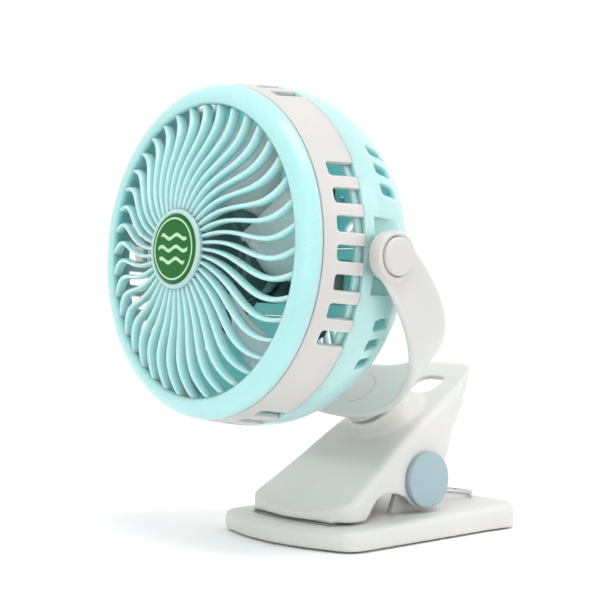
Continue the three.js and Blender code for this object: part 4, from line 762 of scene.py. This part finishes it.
# ---------------------------------------------------------------- head, front grille
# One glossy mint moulding: a broad ring rolled over into the mouth, forty curved ribs, and a hub with a recess for the
# badge. It snaps into the band's front edge.
RIBS, RIB_FOOT, RIB_RUN, DOME_Z, DOME_RISE = 40, 14, 43.1, 32.9, 10.5
ring_profile = softened([
    (60.1, 22.2), (62.1, 22.2), (62.1, 26.25), (64.4, 26.25), (64.1, 28.8), (62.5, 31.6), (59.7, 33.4), (57.1, 33.9),
    (55.8, 31.7), (60.1, 25.2), (60.1, 22.2),
], 1.3, 5)
hub_profile = softened([
    (0, 40.8), (13.6, 40.8), (15.2, 42), (15.2, 43.4), (14.5, 44.3), (13.4, 44.3), (13.4, 42.8), (0, 42.8),
], 0.4)


def ribs():
    """Forty ribs over t from 0 to 1, r = 14 + 43.1 t: a rounded section 1.7 to 2.8 mm wide and 4.3 mm deep, its angle
    lagging by 10.5 sin(0.75 pi t) - 2.4 sin(2 pi t) degrees, its height that of the dome 32.9 + 10.5 (1 - q^1.7) less
    2.2, with q the share of the way from the hub to the ring. Its ends close to a point inside the hub and the ring."""
    t = np.linspace(0, 1, 30)[:, None]
    a = np.linspace(0, 2 * np.pi, 14, endpoint=False)[None]
    r = RIB_FOOT + RIB_RUN * t
    dome = DOME_Z + DOME_RISE * (1 - np.clip((r - 15.2) / 41.3, 0, 1) ** 1.7)
    c, s = np.cos(a), np.sin(a)
    ends = (t > 0) & (t < 1)
    across = 0.5 * (1.7 + 1.1 * t) * np.sign(c) * np.abs(c) ** 0.75 * (1 - 0.16 * (s + 1)) * ends
    up = 2.15 * np.sign(s) * np.abs(s) ** 0.75 * ends
    grids = []
    for k in range(RIBS):
        turn = np.radians(360 / RIBS * k - 10.5 * np.sin(0.75 * np.pi * t) + 2.4 * np.sin(2 * np.pi * t))
        x = r * np.cos(turn) - np.sin(turn) * across
        y = r * np.sin(turn) + np.cos(turn) * across
        grids.append(np.stack([x, y, dome - 2.2 + up], -1))
    return grids


grille_grids = [turned(ring_profile, 192), turned(hub_profile, 96)] + ribs()
grille = skin("grille_ring_ribs_and_hub", [tilted(grid, HEAD_TURN) for grid in grille_grids], sharp=60)
seat(grille, "head", mint, ["front_grille"])

# ---------------------------------------------------------------- head, badge
# A deep green disc glued into the hub's recess, printed with a thin pale ring and three plain waves.
# The print is worked out from the distance to each line, in metres across the head's axis.
RING_R, RING_HALF, WAVE_LENGTH, WAVE_RISE, WAVE_HALF, WAVE_END = 0.0115, 0.00035, 0.009, 0.0008, 0.0007, 0.009
INK_EDGE = 0.00006


def print_on(material, ink):
    """Prints a ring and three waves in ink on a material. The ring is where |r - 11.5 mm| < 0.35 mm, and a wave is
    where |y - y0 - 0.8 mm sin(2 pi x / 9 mm)| < 0.7 mm and r < 9 mm."""
    tree = material.node_tree
    nodes, link = tree.nodes, tree.links.new
    where, face, split = (nodes.new("ShaderNode" + kind) for kind in ("TexCoord", "Mapping", "SeparateXYZ"))
    face.vector_type = "TEXTURE"
    face.inputs["Location"].default_value = (0, PIVOT_Y / 1000, PIVOT_Z / 1000)
    face.inputs["Rotation"].default_value = (math.radians(HEAD_TURN), 0, 0)
    link(where.outputs["Object"], face.inputs["Vector"])
    link(face.outputs[0], split.inputs[0])
    x, y = split.outputs[0], split.outputs[1]

    def inside(distance, limit):
        """1 where the distance is under the limit, 0 past it, with a soft edge."""
        soft = nodes.new("ShaderNodeMapRange")
        soft.interpolation_type = "SMOOTHSTEP"
        link(distance, soft.inputs["Value"])
        soft.inputs["From Min"].default_value = limit - INK_EDGE
        soft.inputs["From Max"].default_value = limit + INK_EDGE
        soft.inputs["To Min"].default_value = 1.0
        soft.inputs["To Max"].default_value = 0.0
        return soft.outputs[0]

    squares = worked(tree, "ADD", worked(tree, "MULTIPLY", x, x), worked(tree, "MULTIPLY", y, y))
    radius = worked(tree, "SQRT", squares)
    drawn = inside(worked(tree, "ABSOLUTE", worked(tree, "SUBTRACT", radius, RING_R)), RING_HALF)
    wave = worked(tree, "SINE", worked(tree, "MULTIPLY", x, 2 * math.pi / WAVE_LENGTH))
    above = worked(tree, "SUBTRACT", y, worked(tree, "MULTIPLY", wave, WAVE_RISE))
    for middle in (-0.0045, 0.0, 0.0045):
        away = worked(tree, "ABSOLUTE", worked(tree, "SUBTRACT", above, middle))
        line = worked(tree, "MULTIPLY", inside(away, WAVE_HALF), inside(radius, WAVE_END))
        drawn = worked(tree, "MAXIMUM", drawn, line)
    mix = nodes.new("ShaderNodeMix")
    mix.data_type = "RGBA"
    under, over, mixed = mix.inputs[6], mix.inputs[7], mix.outputs[2]
    colour = nodes["Principled BSDF"].inputs["Base Color"]
    link(drawn, mix.inputs["Factor"])
    link(colour.links[0].from_socket, under)
    over.default_value = (*ink, 1)
    link(mixed, colour)


badge_green = finish_of("badge_green", (0.008, 0.125, 0.02), 0.45)
badge_green.node_tree.nodes["Principled BSDF"].inputs["Specular IOR Level"].default_value = 0.25
print_on(badge_green, (0.45, 0.70, 0.45))
badge_profile = softened([(0, 43.1), (13.1, 43.1), (13.1, 44.15), (12.5, 44.5), (0, 45.0)], 0.25)
badge = skin("badge_disc", [tilted(turned(badge_profile), HEAD_TURN)])
seat(badge, "head", badge_green, ["badge"])
